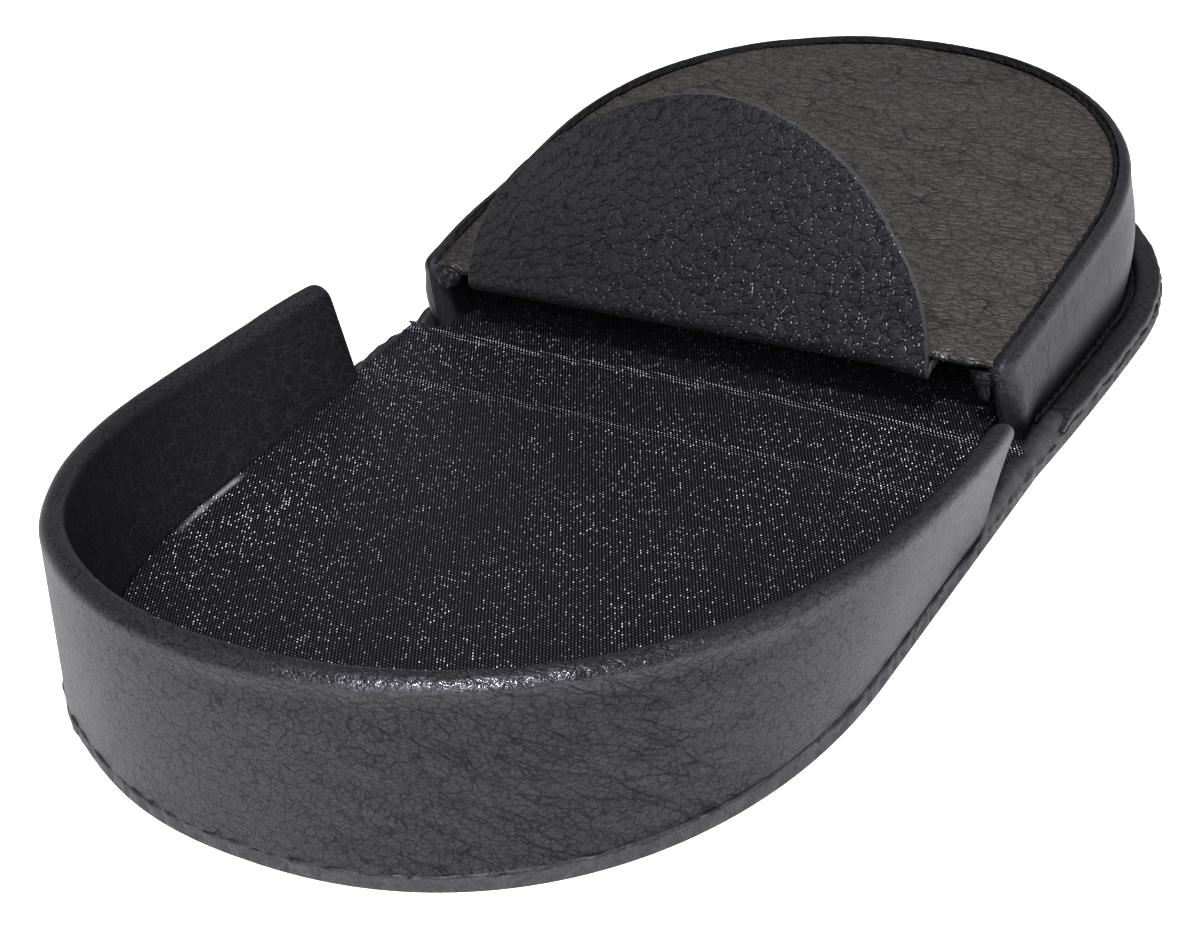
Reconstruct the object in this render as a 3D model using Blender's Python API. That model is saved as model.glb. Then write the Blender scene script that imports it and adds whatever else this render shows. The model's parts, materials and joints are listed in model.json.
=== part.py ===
"""A tray coin purse, laid open: a horseshoe coin box, a folding spine, a horseshoe tray and a tongue.

All sizes are in metres. The box's fold on the spine is y = 0 while the pieces are made: the box lies on
the +y side, the spine and the tray on the -y side, x runs across and z goes up from the table.
Each piece's origin is on the axis that it folds about, and hangs from an empty there.
"""

import math

import bmesh
import bpy
from mathutils import Vector

# Leather, board and lining of the base, from the table up
SOLE_THICKNESS = 0.0013
BOARD_THICKNESS = 0.0010
LINING_THICKNESS = 0.0005
GLUE_GAP = 0.0001
FOLD_GAP = 0.0003
BOARD_BOTTOM = SOLE_THICKNESS + GLUE_GAP
LINING_BOTTOM = BOARD_BOTTOM + BOARD_THICKNESS + GLUE_GAP
FLOOR_TOP = LINING_BOTTOM + LINING_THICKNESS

# Spine, between the two folds
SPINE_WIDTH = 0.0114
SPINE_HALF_WIDTH = 0.0412
SPINE_HEM = 0.0008

# Plan of the box, measured from its fold
BOX_LENGTH = 0.0734
LIP_HALF_WIDTH = 0.0422
BOX_RUN = 0.0320
LIP_SIDE = 0.0045
LIP_REAR = 0.0059
MOUTH_SETBACK = 0.0018
MOUTH_TAPER = 0.0009
LIP_ROUNDNESS_SHARE = 2.05
BAND_ROUNDNESS_SHARE = 2.12
BAND_HALF_WIDTH = LIP_HALF_WIDTH - LIP_SIDE
BAND_REACH = BOX_LENGTH - LIP_REAR

# Upright band of the box
BOX_HEIGHT_FRONT = 0.0086
BOX_HEIGHT_REAR = 0.0166
BAND_LEATHER = 0.0015
BAND_CORE = 0.0007
BAND_LINING = 0.0004
BAND_EDGE_RADIUS = 0.0011
CORE_INSET = BAND_LEATHER + GLUE_GAP
BAND_LINING_INSET = CORE_INSET + BAND_CORE + GLUE_GAP
BAND_THICKNESS = BAND_LINING_INSET + BAND_LINING
MOUTH_HALF_WIDTH = BAND_HALF_WIDTH - MOUTH_TAPER - BAND_THICKNESS
CORE_SETBACK = 0.0006

# Top of the box
TOP_LEATHER = 0.0010
TOP_LINING = 0.0004
TOP_DOME = 0.0008
TOP_SETBACK = 0.0024
SEAM_GROOVE = 0.0008
SEAM_DEPTH = 0.0003
TOP_INSET = BAND_LEATHER + SEAM_GROOVE

# Upper leather of the lip, and the thread of both seams
LIP_LEATHER = 0.0010
LIP_EDGE_SETBACK = 0.0002
LIP_GROOVE = 0.0008
LIP_FRONT = 0.0080
THREAD_RADIUS = 0.00025
STITCH_LENGTH = 0.0025
STITCH_RISE = 0.00012
SEAM_THREAD_DEPTH = 0.0007

# Plan of the tray, measured from its fold
TRAY_LENGTH = 0.0745
TRAY_HALF_WIDTH = 0.0410
TRAY_RUN = 0.0280
TRAY_ROUNDNESS_SHARE = 2.23
FOOT_SETBACK = 0.0002
RIM_HALF_WIDTH = 0.0441
RIM_REACH = 0.0738
RIM_RUN = 0.0205
RIM_TAPER = 0.0010
FOOT_TAPER = 0.0003
RIM_ROUNDNESS_SHARE = 2.15
WALL_START = 0.0012

# Upright wall of the tray
RIM_HEIGHT_ENDS = 0.0113
RIM_HEIGHT_FRONT = 0.0191
WALL_LEATHER = 0.0009
WALL_CORE = 0.0005
WALL_THICKNESS = 2 * (WALL_LEATHER + GLUE_GAP) + WALL_CORE

# Tongue: a half-round flap that stands up from a rolled root under the top's front edge
TONGUE_MARGIN = 0.0048
TONGUE_HALF_WIDTH = MOUTH_HALF_WIDTH - TONGUE_MARGIN
TONGUE_LENGTH = 0.0247
TONGUE_THICKNESS = 0.0010
TONGUE_LEAN = math.radians(16)
ROLL_SPACE = 0.0007
ROLL_SETBACK = 0.0005
ROOT_TAIL = 0.0040
TONGUE_SIDE_SHARE = 1.8
TONGUE_TIP_SHARE = 0.66
ROLL_GAP = math.radians(14)

# Gathered leather in the mouth's two upper corners
TUCK_LENGTH = 0.0036
TUCK_RADIUS = 0.0008
TUCK_STANDOFF = 0.0012
TUCK_RING_SHARES = ((0.0, 1.0), (0.3, 1.1), (0.6, 0.85), (0.85, 0.6), (1.0, 0.35))

# Facets
SIDE_STEPS = 4
ROUND_STEPS = 14
RIM_ARC_STEPS = 4
ROLL_STEPS = 9
TONGUE_STEPS = 14
ACROSS_STEPS = 8
TUCK_SIDES = 7

OVERRUN = 0.002

# Fold axes, and the shift that centres the purse on the frame's origin
TONGUE_AXIS_Y = TOP_SETBACK - ROLL_SETBACK
TONGUE_AXIS_Z = FLOOR_TOP + BOX_HEIGHT_FRONT - SEAM_DEPTH - TOP_LEATHER - GLUE_GAP + ROLL_SPACE
CENTRE_SHIFT = (SPINE_WIDTH + TRAY_LENGTH - BOX_LENGTH) / 2
PIVOTS = {
    "box": Vector((0, 0, 0)),
    "spine": Vector((0, 0, FLOOR_TOP)),
    "tray": Vector((0, -SPINE_WIDTH, FLOOR_TOP)),
    "tongue": Vector((0, TONGUE_AXIS_Y, TONGUE_AXIS_Z)),
}

# Linear colour, roughness and metallic value of each material
FINISHES = {
    "smooth_leather": ((0.030, 0.030, 0.034), 0.42, 0.0),
    "pebbled_leather": ((0.034, 0.032, 0.033), 0.48, 0.0),
    "tongue_leather": ((0.020, 0.020, 0.026), 0.45, 0.0),
    "sole_leather": ((0.026, 0.026, 0.029), 0.55, 0.0),
    "satin_lining": ((0.012, 0.012, 0.018), 0.50, 0.0),
    "fibre_board": ((0.120, 0.095, 0.070), 0.85, 0.0),
    "polyester_thread": ((0.012, 0.012, 0.014), 0.60, 0.0),
}


def clear_scene():
    for old in list(bpy.data.objects):
        bpy.data.objects.remove(old, do_unlink=True)


def material(name):
    made = bpy.data.materials.get(name)
    if made:
        return made
    colour, roughness, metallic = FINISHES[name]
    made = bpy.data.materials.new(name)
    made.use_nodes = True
    shader = made.node_tree.nodes["Principled BSDF"]
    shader.inputs["Base Color"].default_value = (*colour, 1)
    shader.inputs["Roughness"].default_value = roughness
    shader.inputs["Metallic"].default_value = metallic
    return made


def add_axes():
    """One empty for the purse and one on each fold axis; the tray's hangs from the spine's."""
    carriers = {}
    for name, parent in (("box", None), ("spine", "box"), ("tray", "spine"), ("tongue", "box")):
        empty = bpy.data.objects.new(name + "_axis", None)
        bpy.context.scene.collection.objects.link(empty)
        if parent:
            empty.parent = carriers[parent]
            empty.location = PIVOTS[name] - PIVOTS[parent]
        else:
            empty.location = Vector((0, CENTRE_SHIFT, 0))
        carriers[name] = empty
    return carriers


def place(made, body, finish, carriers):
    bpy.context.scene.collection.objects.link(made)
    made.parent = carriers[body]
    made.data.materials.append(material(finish))
    return made


def solid(name, bm, body, finish, carriers):
    """Turns a closed bmesh, made in the purse's coordinates, into an object about its body's axis."""
    bmesh.ops.recalc_face_normals(bm, faces=bm.faces)
    bmesh.ops.translate(bm, verts=bm.verts, vec=-PIVOTS[body])
    mesh = bpy.data.meshes.new(name)
    bm.to_mesh(mesh)
    bm.free()
    mesh.shade_smooth()
    mesh.set_sharp_from_angle(angle=math.radians(35))
    return place(bpy.data.objects.new(name, mesh), body, finish, carriers)


def horseshoe(half, reach, run, start, roundness, taper=0.0, taper_start=0.0):
    """Points (x, d) of a U from its right end, round its far end, to its left end.

    d is the distance from the fold. The sides run from start to run, drawn in by taper towards
    taper_start; past run the plan is half of a superellipse that reaches as far as reach.
    """
    right = []
    for step in range(SIDE_STEPS):
        d = start + (run - start) * step / SIDE_STEPS
        drawn_in = taper * ((run - d) / (run - taper_start)) ** 2
        right.append((half - drawn_in, d))
    for step in range(ROUND_STEPS):
        turn = math.pi / 2 * step / ROUND_STEPS
        x = half * math.cos(turn) ** (2 / roundness)
        d = run + (reach - run) * math.sin(turn) ** (2 / roundness)
        right.append((x, d))
    left = [(-x, d) for x, d in reversed(right)]
    return right + [(0.0, reach)] + left


def lip_outline(offset, start):
    """Plan of the base under the box, drawn in by offset."""
    half = LIP_HALF_WIDTH - offset
    taper = LIP_HALF_WIDTH - SPINE_HALF_WIDTH
    return horseshoe(half, BOX_LENGTH - offset, BOX_RUN, start, LIP_ROUNDNESS_SHARE, taper)


def band_outline(offset, start):
    """Plan of the box's band, drawn in by offset from its outer face."""
    half = BAND_HALF_WIDTH - offset
    reach = BAND_REACH - offset
    return horseshoe(half, reach, BOX_RUN, start, BAND_ROUNDNESS_SHARE, MOUTH_TAPER, MOUTH_SETBACK)


def sole_outline(start):
    taper = TRAY_HALF_WIDTH - SPINE_HALF_WIDTH
    return horseshoe(TRAY_HALF_WIDTH, TRAY_LENGTH, TRAY_RUN, start, TRAY_ROUNDNESS_SHARE, taper)


def foot_outline(offset, start):
    """Plan of the tray wall where it stands on the sole, drawn in by offset from its outer face."""
    half = TRAY_HALF_WIDTH - FOOT_SETBACK - offset
    reach = TRAY_LENGTH - FOOT_SETBACK - offset
    return horseshoe(half, reach, TRAY_RUN, start, TRAY_ROUNDNESS_SHARE, FOOT_TAPER, WALL_START)


def rim_outline(offset, start):
    """Plan of the tray wall at its rim, drawn in by offset from its outer face."""
    half = RIM_HALF_WIDTH - offset
    return horseshoe(half, RIM_REACH - offset, RIM_RUN, start, RIM_ROUNDNESS_SHARE, RIM_TAPER, WALL_START)


def on_box(point, z):
    return Vector((point[0], point[1], z))


def on_tray(point, z):
    return Vector((point[0], -SPINE_WIDTH - point[1], z))


def band_top(d):
    """Height of the band's upper edge at distance d from the box's fold."""
    share = (d - MOUTH_SETBACK) / (BAND_REACH - MOUTH_SETBACK)
    return FLOOR_TOP + BOX_HEIGHT_FRONT + (BOX_HEIGHT_REAR - BOX_HEIGHT_FRONT) * share


def rim_top(d):
    """Height of the tray's rim at distance d from the tray's fold."""
    share = (d - WALL_START) / (RIM_REACH - WALL_START)
    return FLOOR_TOP + RIM_HEIGHT_ENDS + (RIM_HEIGHT_FRONT - RIM_HEIGHT_ENDS) * share


def plate(points, bottom, top):
    """A flat sheet with this outline, between two heights."""
    bm = bmesh.new()
    low = bm.faces.new([bm.verts.new((p.x, p.y, bottom)) for p in points])
    grown = bmesh.ops.extrude_face_region(bm, geom=[low])
    raised = [item for item in grown["geom"] if isinstance(item, bmesh.types.BMVert)]
    bmesh.ops.translate(bm, verts=raised, vec=(0, 0, top - bottom))
    return bm


def sweep(loops):
    """A solid through a row of closed loops with as many points each, capped at both ends."""
    bm = bmesh.new()
    rings = [[bm.verts.new(point) for point in loop] for loop in loops]
    for ring, following in zip(rings, rings[1:]):
        for i in range(len(ring)):
            j = (i + 1) % len(ring)
            bm.faces.new((ring[i], ring[j], following[j], following[i]))
    bm.faces.new(rings[0])
    bm.faces.new(rings[-1])
    return bm


def strip(outlines_and_heights, put):
    """A sweep whose section's corners are (outline, height function), the same for each station."""
    stations = len(outlines_and_heights[0][0])
    loops = []
    for i in range(stations):
        loops.append([put(outline[i], height(outline[i][1])) for outline, height in outlines_and_heights])
    return sweep(loops)


def level(z):
    return lambda d: z


def below_band_top(depth):
    return lambda d: band_top(d) - depth


def make_box_sole(carriers):
    points = [on_box(p, 0) for p in lip_outline(0, FOLD_GAP / 2)]
    return solid("box_sole", plate(points, 0, SOLE_THICKNESS), "box", "sole_leather", carriers)


def make_box_inner_base(carriers):
    """Board and lining on the sole, inside the band."""
    points = [on_box(p, 0) for p in band_outline(BAND_THICKNESS + GLUE_GAP, FOLD_GAP / 2)]
    board = plate(points, BOARD_BOTTOM, BOARD_BOTTOM + BOARD_THICKNESS)
    solid("box_base_board", board, "box", "fibre_board", carriers)
    lining = plate(points, LINING_BOTTOM, FLOOR_TOP)
    solid("box_floor_lining", lining, "box", "satin_lining", carriers)


def make_box_lip(carriers):
    """Upper leather of the lip, a horseshoe round the band's foot."""
    outer = lip_outline(LIP_EDGE_SETBACK, LIP_FRONT)
    inner = band_outline(-LIP_GROOVE, LIP_FRONT)
    bottom = level(BOARD_BOTTOM)
    top = level(BOARD_BOTTOM + LIP_LEATHER)
    bm = strip([(outer, bottom), (outer, top), (inner, top), (inner, bottom)], on_box)
    return solid("box_lip_leather", bm, "box", "smooth_leather", carriers)


def make_box_band(carriers):
    """Leather of the band, with its upper outer edge rounded."""
    corners = [(band_outline(0, MOUTH_SETBACK), level(BOARD_BOTTOM))]
    for step in range(RIM_ARC_STEPS):
        turn = math.pi / 2 * step / (RIM_ARC_STEPS - 1)
        inset = BAND_EDGE_RADIUS * (1 - math.cos(turn))
        depth = BAND_EDGE_RADIUS * (1 - math.sin(turn))
        corners.append((band_outline(inset, MOUTH_SETBACK), below_band_top(depth)))
    inner = band_outline(BAND_LEATHER, MOUTH_SETBACK)
    corners.append((inner, below_band_top(SEAM_DEPTH)))
    corners.append((inner, level(BOARD_BOTTOM)))
    return solid("box_band_leather", strip(corners, on_box), "box", "smooth_leather", carriers)


def make_band_inside(carriers):
    """Stiffening core and lining of the band, both under the edge of the top."""
    start = MOUTH_SETBACK + CORE_SETBACK
    top = below_band_top(SEAM_DEPTH + TOP_LEATHER + GLUE_GAP)
    for name, inset, thickness, finish in (
        ("box_band_core", CORE_INSET, BAND_CORE, "fibre_board"),
        ("box_band_lining", BAND_LINING_INSET, BAND_LINING, "satin_lining"),
    ):
        outer = band_outline(inset, start)
        inner = band_outline(inset + thickness, start)
        foot = level(BOARD_BOTTOM)
        bm = strip([(outer, foot), (outer, top), (inner, top), (inner, foot)], on_box)
        solid(name, bm, "box", finish, carriers)


def dome(across_share, d):
    """Rise of the padded top over its edge plane, none at its outline and at the mouth."""
    along = (d - TOP_SETBACK) / (BAND_REACH - TOP_INSET - TOP_SETBACK)
    return TOP_DOME * (1 - across_share**2) * 4 * max(along, 0) * max(1 - along, 0)


def domed_sheet(inset, start, depth, thickness):
    """A sheet that follows the box's domed top, its upper face depth below the band's edge plane."""
    outline = band_outline(inset, start)
    middle = len(outline) // 2
    bm = bmesh.new()
    rows = []
    for i in range(middle + 1):
        half, d = outline[i]
        row = []
        for step in range(ACROSS_STEPS + 1 if i < middle else 1):
            share = 1 - 2 * step / ACROSS_STEPS if i < middle else 0
            top = band_top(d) - depth + dome(share, d)
            x = half * share
            row.append((bm.verts.new((x, d, top)), bm.verts.new((x, d, top - thickness))))
        rows.append(row)
    for row, following in zip(rows, rows[1:]):
        for i in range(ACROSS_STEPS):
            for side in (0, 1):
                corners = [row[i][side], row[i + 1][side]]
                if len(following) > 1:
                    corners += [following[i + 1][side], following[i][side]]
                else:
                    corners.append(following[0][side])
                bm.faces.new(corners)
    edge = [row[0] for row in rows] + [row[-1] for row in reversed(rows[:-1])]
    edge += rows[0][-2:0:-1]
    for (top, bottom), (next_top, next_bottom) in zip(edge, edge[1:] + edge[:1]):
        bm.faces.new((top, next_top, next_bottom, bottom))
    return bm


def make_box_top(carriers):
    cover = domed_sheet(TOP_INSET, TOP_SETBACK, SEAM_DEPTH, TOP_LEATHER)
    solid("box_top_leather", cover, "box", "pebbled_leather", carriers)
    inset = BAND_THICKNESS + GLUE_GAP
    depth = SEAM_DEPTH + TOP_LEATHER + GLUE_GAP
    start = TONGUE_AXIS_Y + ROOT_TAIL + FOLD_GAP
    lining = domed_sheet(inset, start, depth, TOP_LINING)
    solid("box_top_lining", lining, "box", "satin_lining", carriers)


def evenly_spaced(points, step):
    """Points along a polyline, an even number of equal steps apart, each close to the one asked for."""
    lengths = [(b - a).length for a, b in zip(points, points[1:])]
    count = 2 * round(sum(lengths) / step / 2)
    spacing = sum(lengths) / count
    found = [points[0]]
    walked = 0.0
    for a, b, length in zip(points, points[1:], lengths):
        while len(found) < count and walked + length >= spacing * len(found):
            found.append(a.lerp(b, (spacing * len(found) - walked) / length))
        walked += length
    return found + [points[-1]]


def make_thread(name, points, carriers):
    """One thread whose stitches rise and dip along a seam."""
    curve = bpy.data.curves.new(name, "CURVE")
    curve.dimensions = "3D"
    curve.bevel_depth = THREAD_RADIUS
    curve.bevel_resolution = 0
    curve.use_fill_caps = True
    spots = evenly_spaced(points, STITCH_LENGTH / 2)
    spline = curve.splines.new("POLY")
    spline.points.add(len(spots) - 1)
    for number, (target, spot) in enumerate(zip(spline.points, spots)):
        rise = STITCH_RISE if number % 2 else -STITCH_RISE
        target.co = (spot.x, spot.y, spot.z + rise, 1)
    return place(bpy.data.objects.new(name, curve), "box", "polyester_thread", carriers)


def make_seam_threads(carriers):
    top_seam = band_outline(BAND_LEATHER + SEAM_GROOVE / 2, TOP_SETBACK)
    points = [on_box(p, band_top(p[1]) - SEAM_THREAD_DEPTH) for p in top_seam]
    make_thread("top_seam_thread", points, carriers)
    height = SOLE_THICKNESS + THREAD_RADIUS + STITCH_RISE + GLUE_GAP
    points = [on_box(p, height) for p in band_outline(-LIP_GROOVE / 2, LIP_FRONT)]
    make_thread("lip_seam_thread", points, carriers)


def make_tongue_root(carriers):
    """Root of the tongue: a tail glued under the top's front edge, rolled forward and up in front of it."""
    slope = math.atan2(band_top(BAND_REACH) - band_top(MOUTH_SETBACK), BAND_REACH - MOUTH_SETBACK)
    first = math.pi - TONGUE_LEAN + ROLL_GAP
    last = 3 * math.pi / 2 + slope
    half = TONGUE_HALF_WIDTH
    outer, inner = [], []
    for step in range(ROLL_STEPS + 1):
        turn = first + (last - first) * step / ROLL_STEPS
        outward = Vector((0, math.cos(turn), math.sin(turn)))
        inner.append(PIVOTS["tongue"] + outward * ROLL_SPACE)
        outer.append(PIVOTS["tongue"] + outward * (ROLL_SPACE + TONGUE_THICKNESS))
    back = Vector((0, math.cos(slope), math.sin(slope))) * ROOT_TAIL
    outer.append(outer[-1] + back)
    inner.append(inner[-1] + back)
    profile = outer + inner[::-1]
    loops = [[Vector((x, p.y, p.z)) for p in profile] for x in (half, -half)]
    return solid("tongue_root", sweep(loops), "box", "tongue_leather", carriers)


def tongue_half_width(share):
    return TONGUE_HALF_WIDTH * (1 - share**TONGUE_SIDE_SHARE) ** TONGUE_TIP_SHARE


def make_tongue(carriers):
    """The standing flap: a half-round sheet, leaning back from the roll that carries it."""
    along = Vector((0, math.sin(TONGUE_LEAN), math.cos(TONGUE_LEAN)))
    front = Vector((0, -math.cos(TONGUE_LEAN), math.sin(TONGUE_LEAN)))
    shares = [math.sin(math.pi / 2 * step / TONGUE_STEPS) for step in range(TONGUE_STEPS)]
    right = [(tongue_half_width(share), share * TONGUE_LENGTH) for share in shares]
    outline = right + [(0.0, TONGUE_LENGTH)] + [(-x, s) for x, s in reversed(right)]
    loops = []
    for depth in (ROLL_SPACE, ROLL_SPACE + TONGUE_THICKNESS):
        base = PIVOTS["tongue"] + front * depth
        loops.append([base + along * s + Vector((x, 0, 0)) for x, s in outline])
    return solid("tongue", sweep(loops), "tongue", "tongue_leather", carriers)


def make_mouth_tucks(carriers):
    """Pinched ends of the top seam, one hanging in each upper corner of the mouth."""
    side = MOUTH_HALF_WIDTH - TUCK_STANDOFF
    y = TOP_SETBACK + TUCK_RADIUS
    top = band_top(y - TUCK_RADIUS) - SEAM_DEPTH - TOP_LEATHER - GLUE_GAP
    for name, sign in (("mouth_tuck_right", 1), ("mouth_tuck_left", -1)):
        loops = []
        for drop_share, radius_share in TUCK_RING_SHARES:
            centre = Vector((sign * side, y, top - TUCK_LENGTH * drop_share))
            radius = TUCK_RADIUS * radius_share
            turns = [2 * math.pi * i / TUCK_SIDES for i in range(TUCK_SIDES)]
            loops.append([centre + Vector((math.cos(t), math.sin(t), 0)) * radius for t in turns])
        solid(name, sweep(loops), "box", "smooth_leather", carriers)


def make_spine(carriers):
    near = -FOLD_GAP / 2
    far = -SPINE_WIDTH + FOLD_GAP / 2
    inner_half = SPINE_HALF_WIDTH - SPINE_HEM
    webbing_top = BOARD_BOTTOM + BOARD_THICKNESS
    for name, half, bottom, top, finish in (
        ("spine_leather", SPINE_HALF_WIDTH, 0, SOLE_THICKNESS, "sole_leather"),
        ("spine_webbing", inner_half, BOARD_BOTTOM, webbing_top, "satin_lining"),
        ("spine_lining", inner_half, LINING_BOTTOM, FLOOR_TOP, "satin_lining"),
    ):
        corners = [Vector((x, y, 0)) for x, y in ((half, near), (-half, near), (-half, far), (half, far))]
        solid(name, plate(corners, bottom, top), "spine", finish, carriers)


def make_tray_base(carriers):
    sole = [on_tray(p, 0) for p in sole_outline(FOLD_GAP / 2)]
    solid("tray_sole", plate(sole, 0, SOLE_THICKNESS), "tray", "sole_leather", carriers)
    inside = [on_tray(p, 0) for p in foot_outline(WALL_THICKNESS + GLUE_GAP, FOLD_GAP / 2)]
    board = plate(inside, BOARD_BOTTOM, BOARD_BOTTOM + BOARD_THICKNESS)
    solid("tray_board", board, "tray", "fibre_board", carriers)
    lining = plate(inside, LINING_BOTTOM, FLOOR_TOP)
    solid("tray_floor_lining", lining, "tray", "satin_lining", carriers)


def wall_solid(section, start, foot_height=BOARD_BOTTOM):
    """A sweep of the tray's wall; section lists (offset, depth below the rim), with None for the foot."""
    outlines = [(foot_outline(offset, start), rim_outline(offset, start)) for offset, _ in section]
    loops = []
    for i in range(len(outlines[0][0])):
        rim_height = rim_top(outlines[0][1][i][1])
        loop = []
        for (foot, rim), (_, depth) in zip(outlines, section):
            z = foot_height if depth is None else rim_height - depth
            share = (z - BOARD_BOTTOM) / (rim_height - BOARD_BOTTOM)
            x = foot[i][0] + (rim[i][0] - foot[i][0]) * share
            d = foot[i][1] + (rim[i][1] - foot[i][1]) * share
            loop.append(on_tray((x, d), z))
        loops.append(loop)
    return sweep(loops)


def make_tray_wall(carriers):
    """Board core, and the leather that goes up over it, round the rim and down the inside."""
    radius = WALL_THICKNESS / 2
    near = WALL_LEATHER + GLUE_GAP
    core_section = [(near, None), (near, radius), (near + WALL_CORE, radius), (near + WALL_CORE, None)]
    core_start = WALL_START + WALL_LEATHER + GLUE_GAP
    solid("tray_wall_core", wall_solid(core_section, core_start), "tray", "fibre_board", carriers)

    section = [(0, None)]
    for step in range(2 * RIM_ARC_STEPS - 1):
        turn = math.pi * step / (2 * RIM_ARC_STEPS - 2)
        section.append((radius - radius * math.cos(turn), radius - radius * math.sin(turn)))
    section.append((WALL_THICKNESS, None))
    leather = solid("tray_wall_leather", wall_solid(section, WALL_START), "tray", "smooth_leather", carriers)

    room = wall_room()
    cutter = solid("tray_wall_room", room, "tray", "fibre_board", carriers)
    cutter.hide_render = True
    cutter.display_type = "WIRE"
    cut = leather.modifiers.new("room for the core", "BOOLEAN")
    cut.operation = "DIFFERENCE"
    cut.solver = "EXACT"
    cut.object = cutter


def wall_room():
    """The space that the leather leaves for the core, open below."""
    near = WALL_LEATHER
    far = WALL_THICKNESS - WALL_LEATHER
    shoulder = WALL_THICKNESS / 2
    start = WALL_START + WALL_LEATHER
    section = [(near, None), (near, shoulder), (shoulder, WALL_LEATHER), (far, shoulder), (far, None)]
    return wall_solid(section, start, BOARD_BOTTOM - OVERRUN)


def build_purse():
    clear_scene()
    carriers = add_axes()
    make_box_sole(carriers)
    make_box_inner_base(carriers)
    make_box_lip(carriers)
    make_box_band(carriers)
    make_band_inside(carriers)
    make_box_top(carriers)
    make_seam_threads(carriers)
    make_tongue_root(carriers)
    make_tongue(carriers)
    make_mouth_tucks(carriers)
    make_spine(carriers)
    make_tray_base(carriers)
    make_tray_wall(carriers)


build_purse()
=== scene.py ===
"""Leather, lining, thread and stage of a horseshoe tray coin purse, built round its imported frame.

Lengths are in metres. The purse lies open: the box is on the +y side, the tray on the -y side.
"""

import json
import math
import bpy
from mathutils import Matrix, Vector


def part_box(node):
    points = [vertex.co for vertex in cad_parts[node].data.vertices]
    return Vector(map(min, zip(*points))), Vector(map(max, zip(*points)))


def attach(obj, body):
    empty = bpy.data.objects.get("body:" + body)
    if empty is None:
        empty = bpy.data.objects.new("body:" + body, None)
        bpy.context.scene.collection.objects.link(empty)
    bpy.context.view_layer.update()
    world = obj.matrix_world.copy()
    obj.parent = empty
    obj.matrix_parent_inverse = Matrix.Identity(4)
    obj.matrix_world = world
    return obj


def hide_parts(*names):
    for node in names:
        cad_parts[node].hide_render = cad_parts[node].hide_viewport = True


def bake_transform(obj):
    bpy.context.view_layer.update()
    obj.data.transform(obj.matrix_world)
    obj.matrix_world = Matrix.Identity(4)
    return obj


bl_info = {
    "name": "Tray Coin Purse",
    "version": (1, 0, 0),
    "blender": (4, 5, 0),
    "location": "View3D > Sidebar > Coin Purse",
    "description": "Leather, lining, thread and stage of a horseshoe tray coin purse",
    "category": "Add Mesh",
}

import bmesh
import bpy
import numpy as np
from bpy.props import FloatProperty, FloatVectorProperty, IntProperty, PointerProperty, StringProperty
from bpy.types import Operator, Panel, PropertyGroup
from mathutils import Matrix, Vector, noise

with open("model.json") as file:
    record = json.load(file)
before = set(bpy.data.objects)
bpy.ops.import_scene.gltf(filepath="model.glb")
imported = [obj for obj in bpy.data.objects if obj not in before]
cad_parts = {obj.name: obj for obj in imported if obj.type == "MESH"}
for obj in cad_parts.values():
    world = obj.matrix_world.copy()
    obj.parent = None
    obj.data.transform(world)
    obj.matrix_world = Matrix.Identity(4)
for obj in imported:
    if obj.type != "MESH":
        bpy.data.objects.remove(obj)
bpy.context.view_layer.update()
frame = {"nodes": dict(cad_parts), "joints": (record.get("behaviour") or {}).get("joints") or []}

JOINT_PLACES = {joint["name"]: Vector(joint["pos_m"]) for joint in frame["joints"]}
BOX_FOLD = JOINT_PLACES["spine_fold"].y
TRAY_FOLD = JOINT_PLACES["tray_fold"].y
TONGUE_AXIS = JOINT_PLACES["tongue_fold"]
SPINE_MIDDLE = (BOX_FOLD + TRAY_FOLD) / 2


def lowest(node):
    """The lowest corner of a node's box."""
    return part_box(node)[0]


def highest(node):
    """The highest corner of a node's box."""
    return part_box(node)[1]


def length(name, default, description):
    """A length that a user may change, in metres."""
    return FloatProperty(name=name, default=default, description=description, unit="LENGTH", precision=5)


def share(name, default, description):
    """A plain number that a user may change."""
    return FloatProperty(name=name, default=default, description=description, precision=3)


def count(name, default, description):
    """A whole number that a user may change."""
    return IntProperty(name=name, default=default, description=description, min=2)


def degrees(name, default, description):
    """An angle that a user may change; its default is in degrees."""
    return FloatProperty(name=name, default=math.radians(default), subtype="ANGLE", description=description)


def colour(name, default, description):
    """An sRGB colour, written as hex."""
    return StringProperty(name=name, default=default, description=description)


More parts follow.
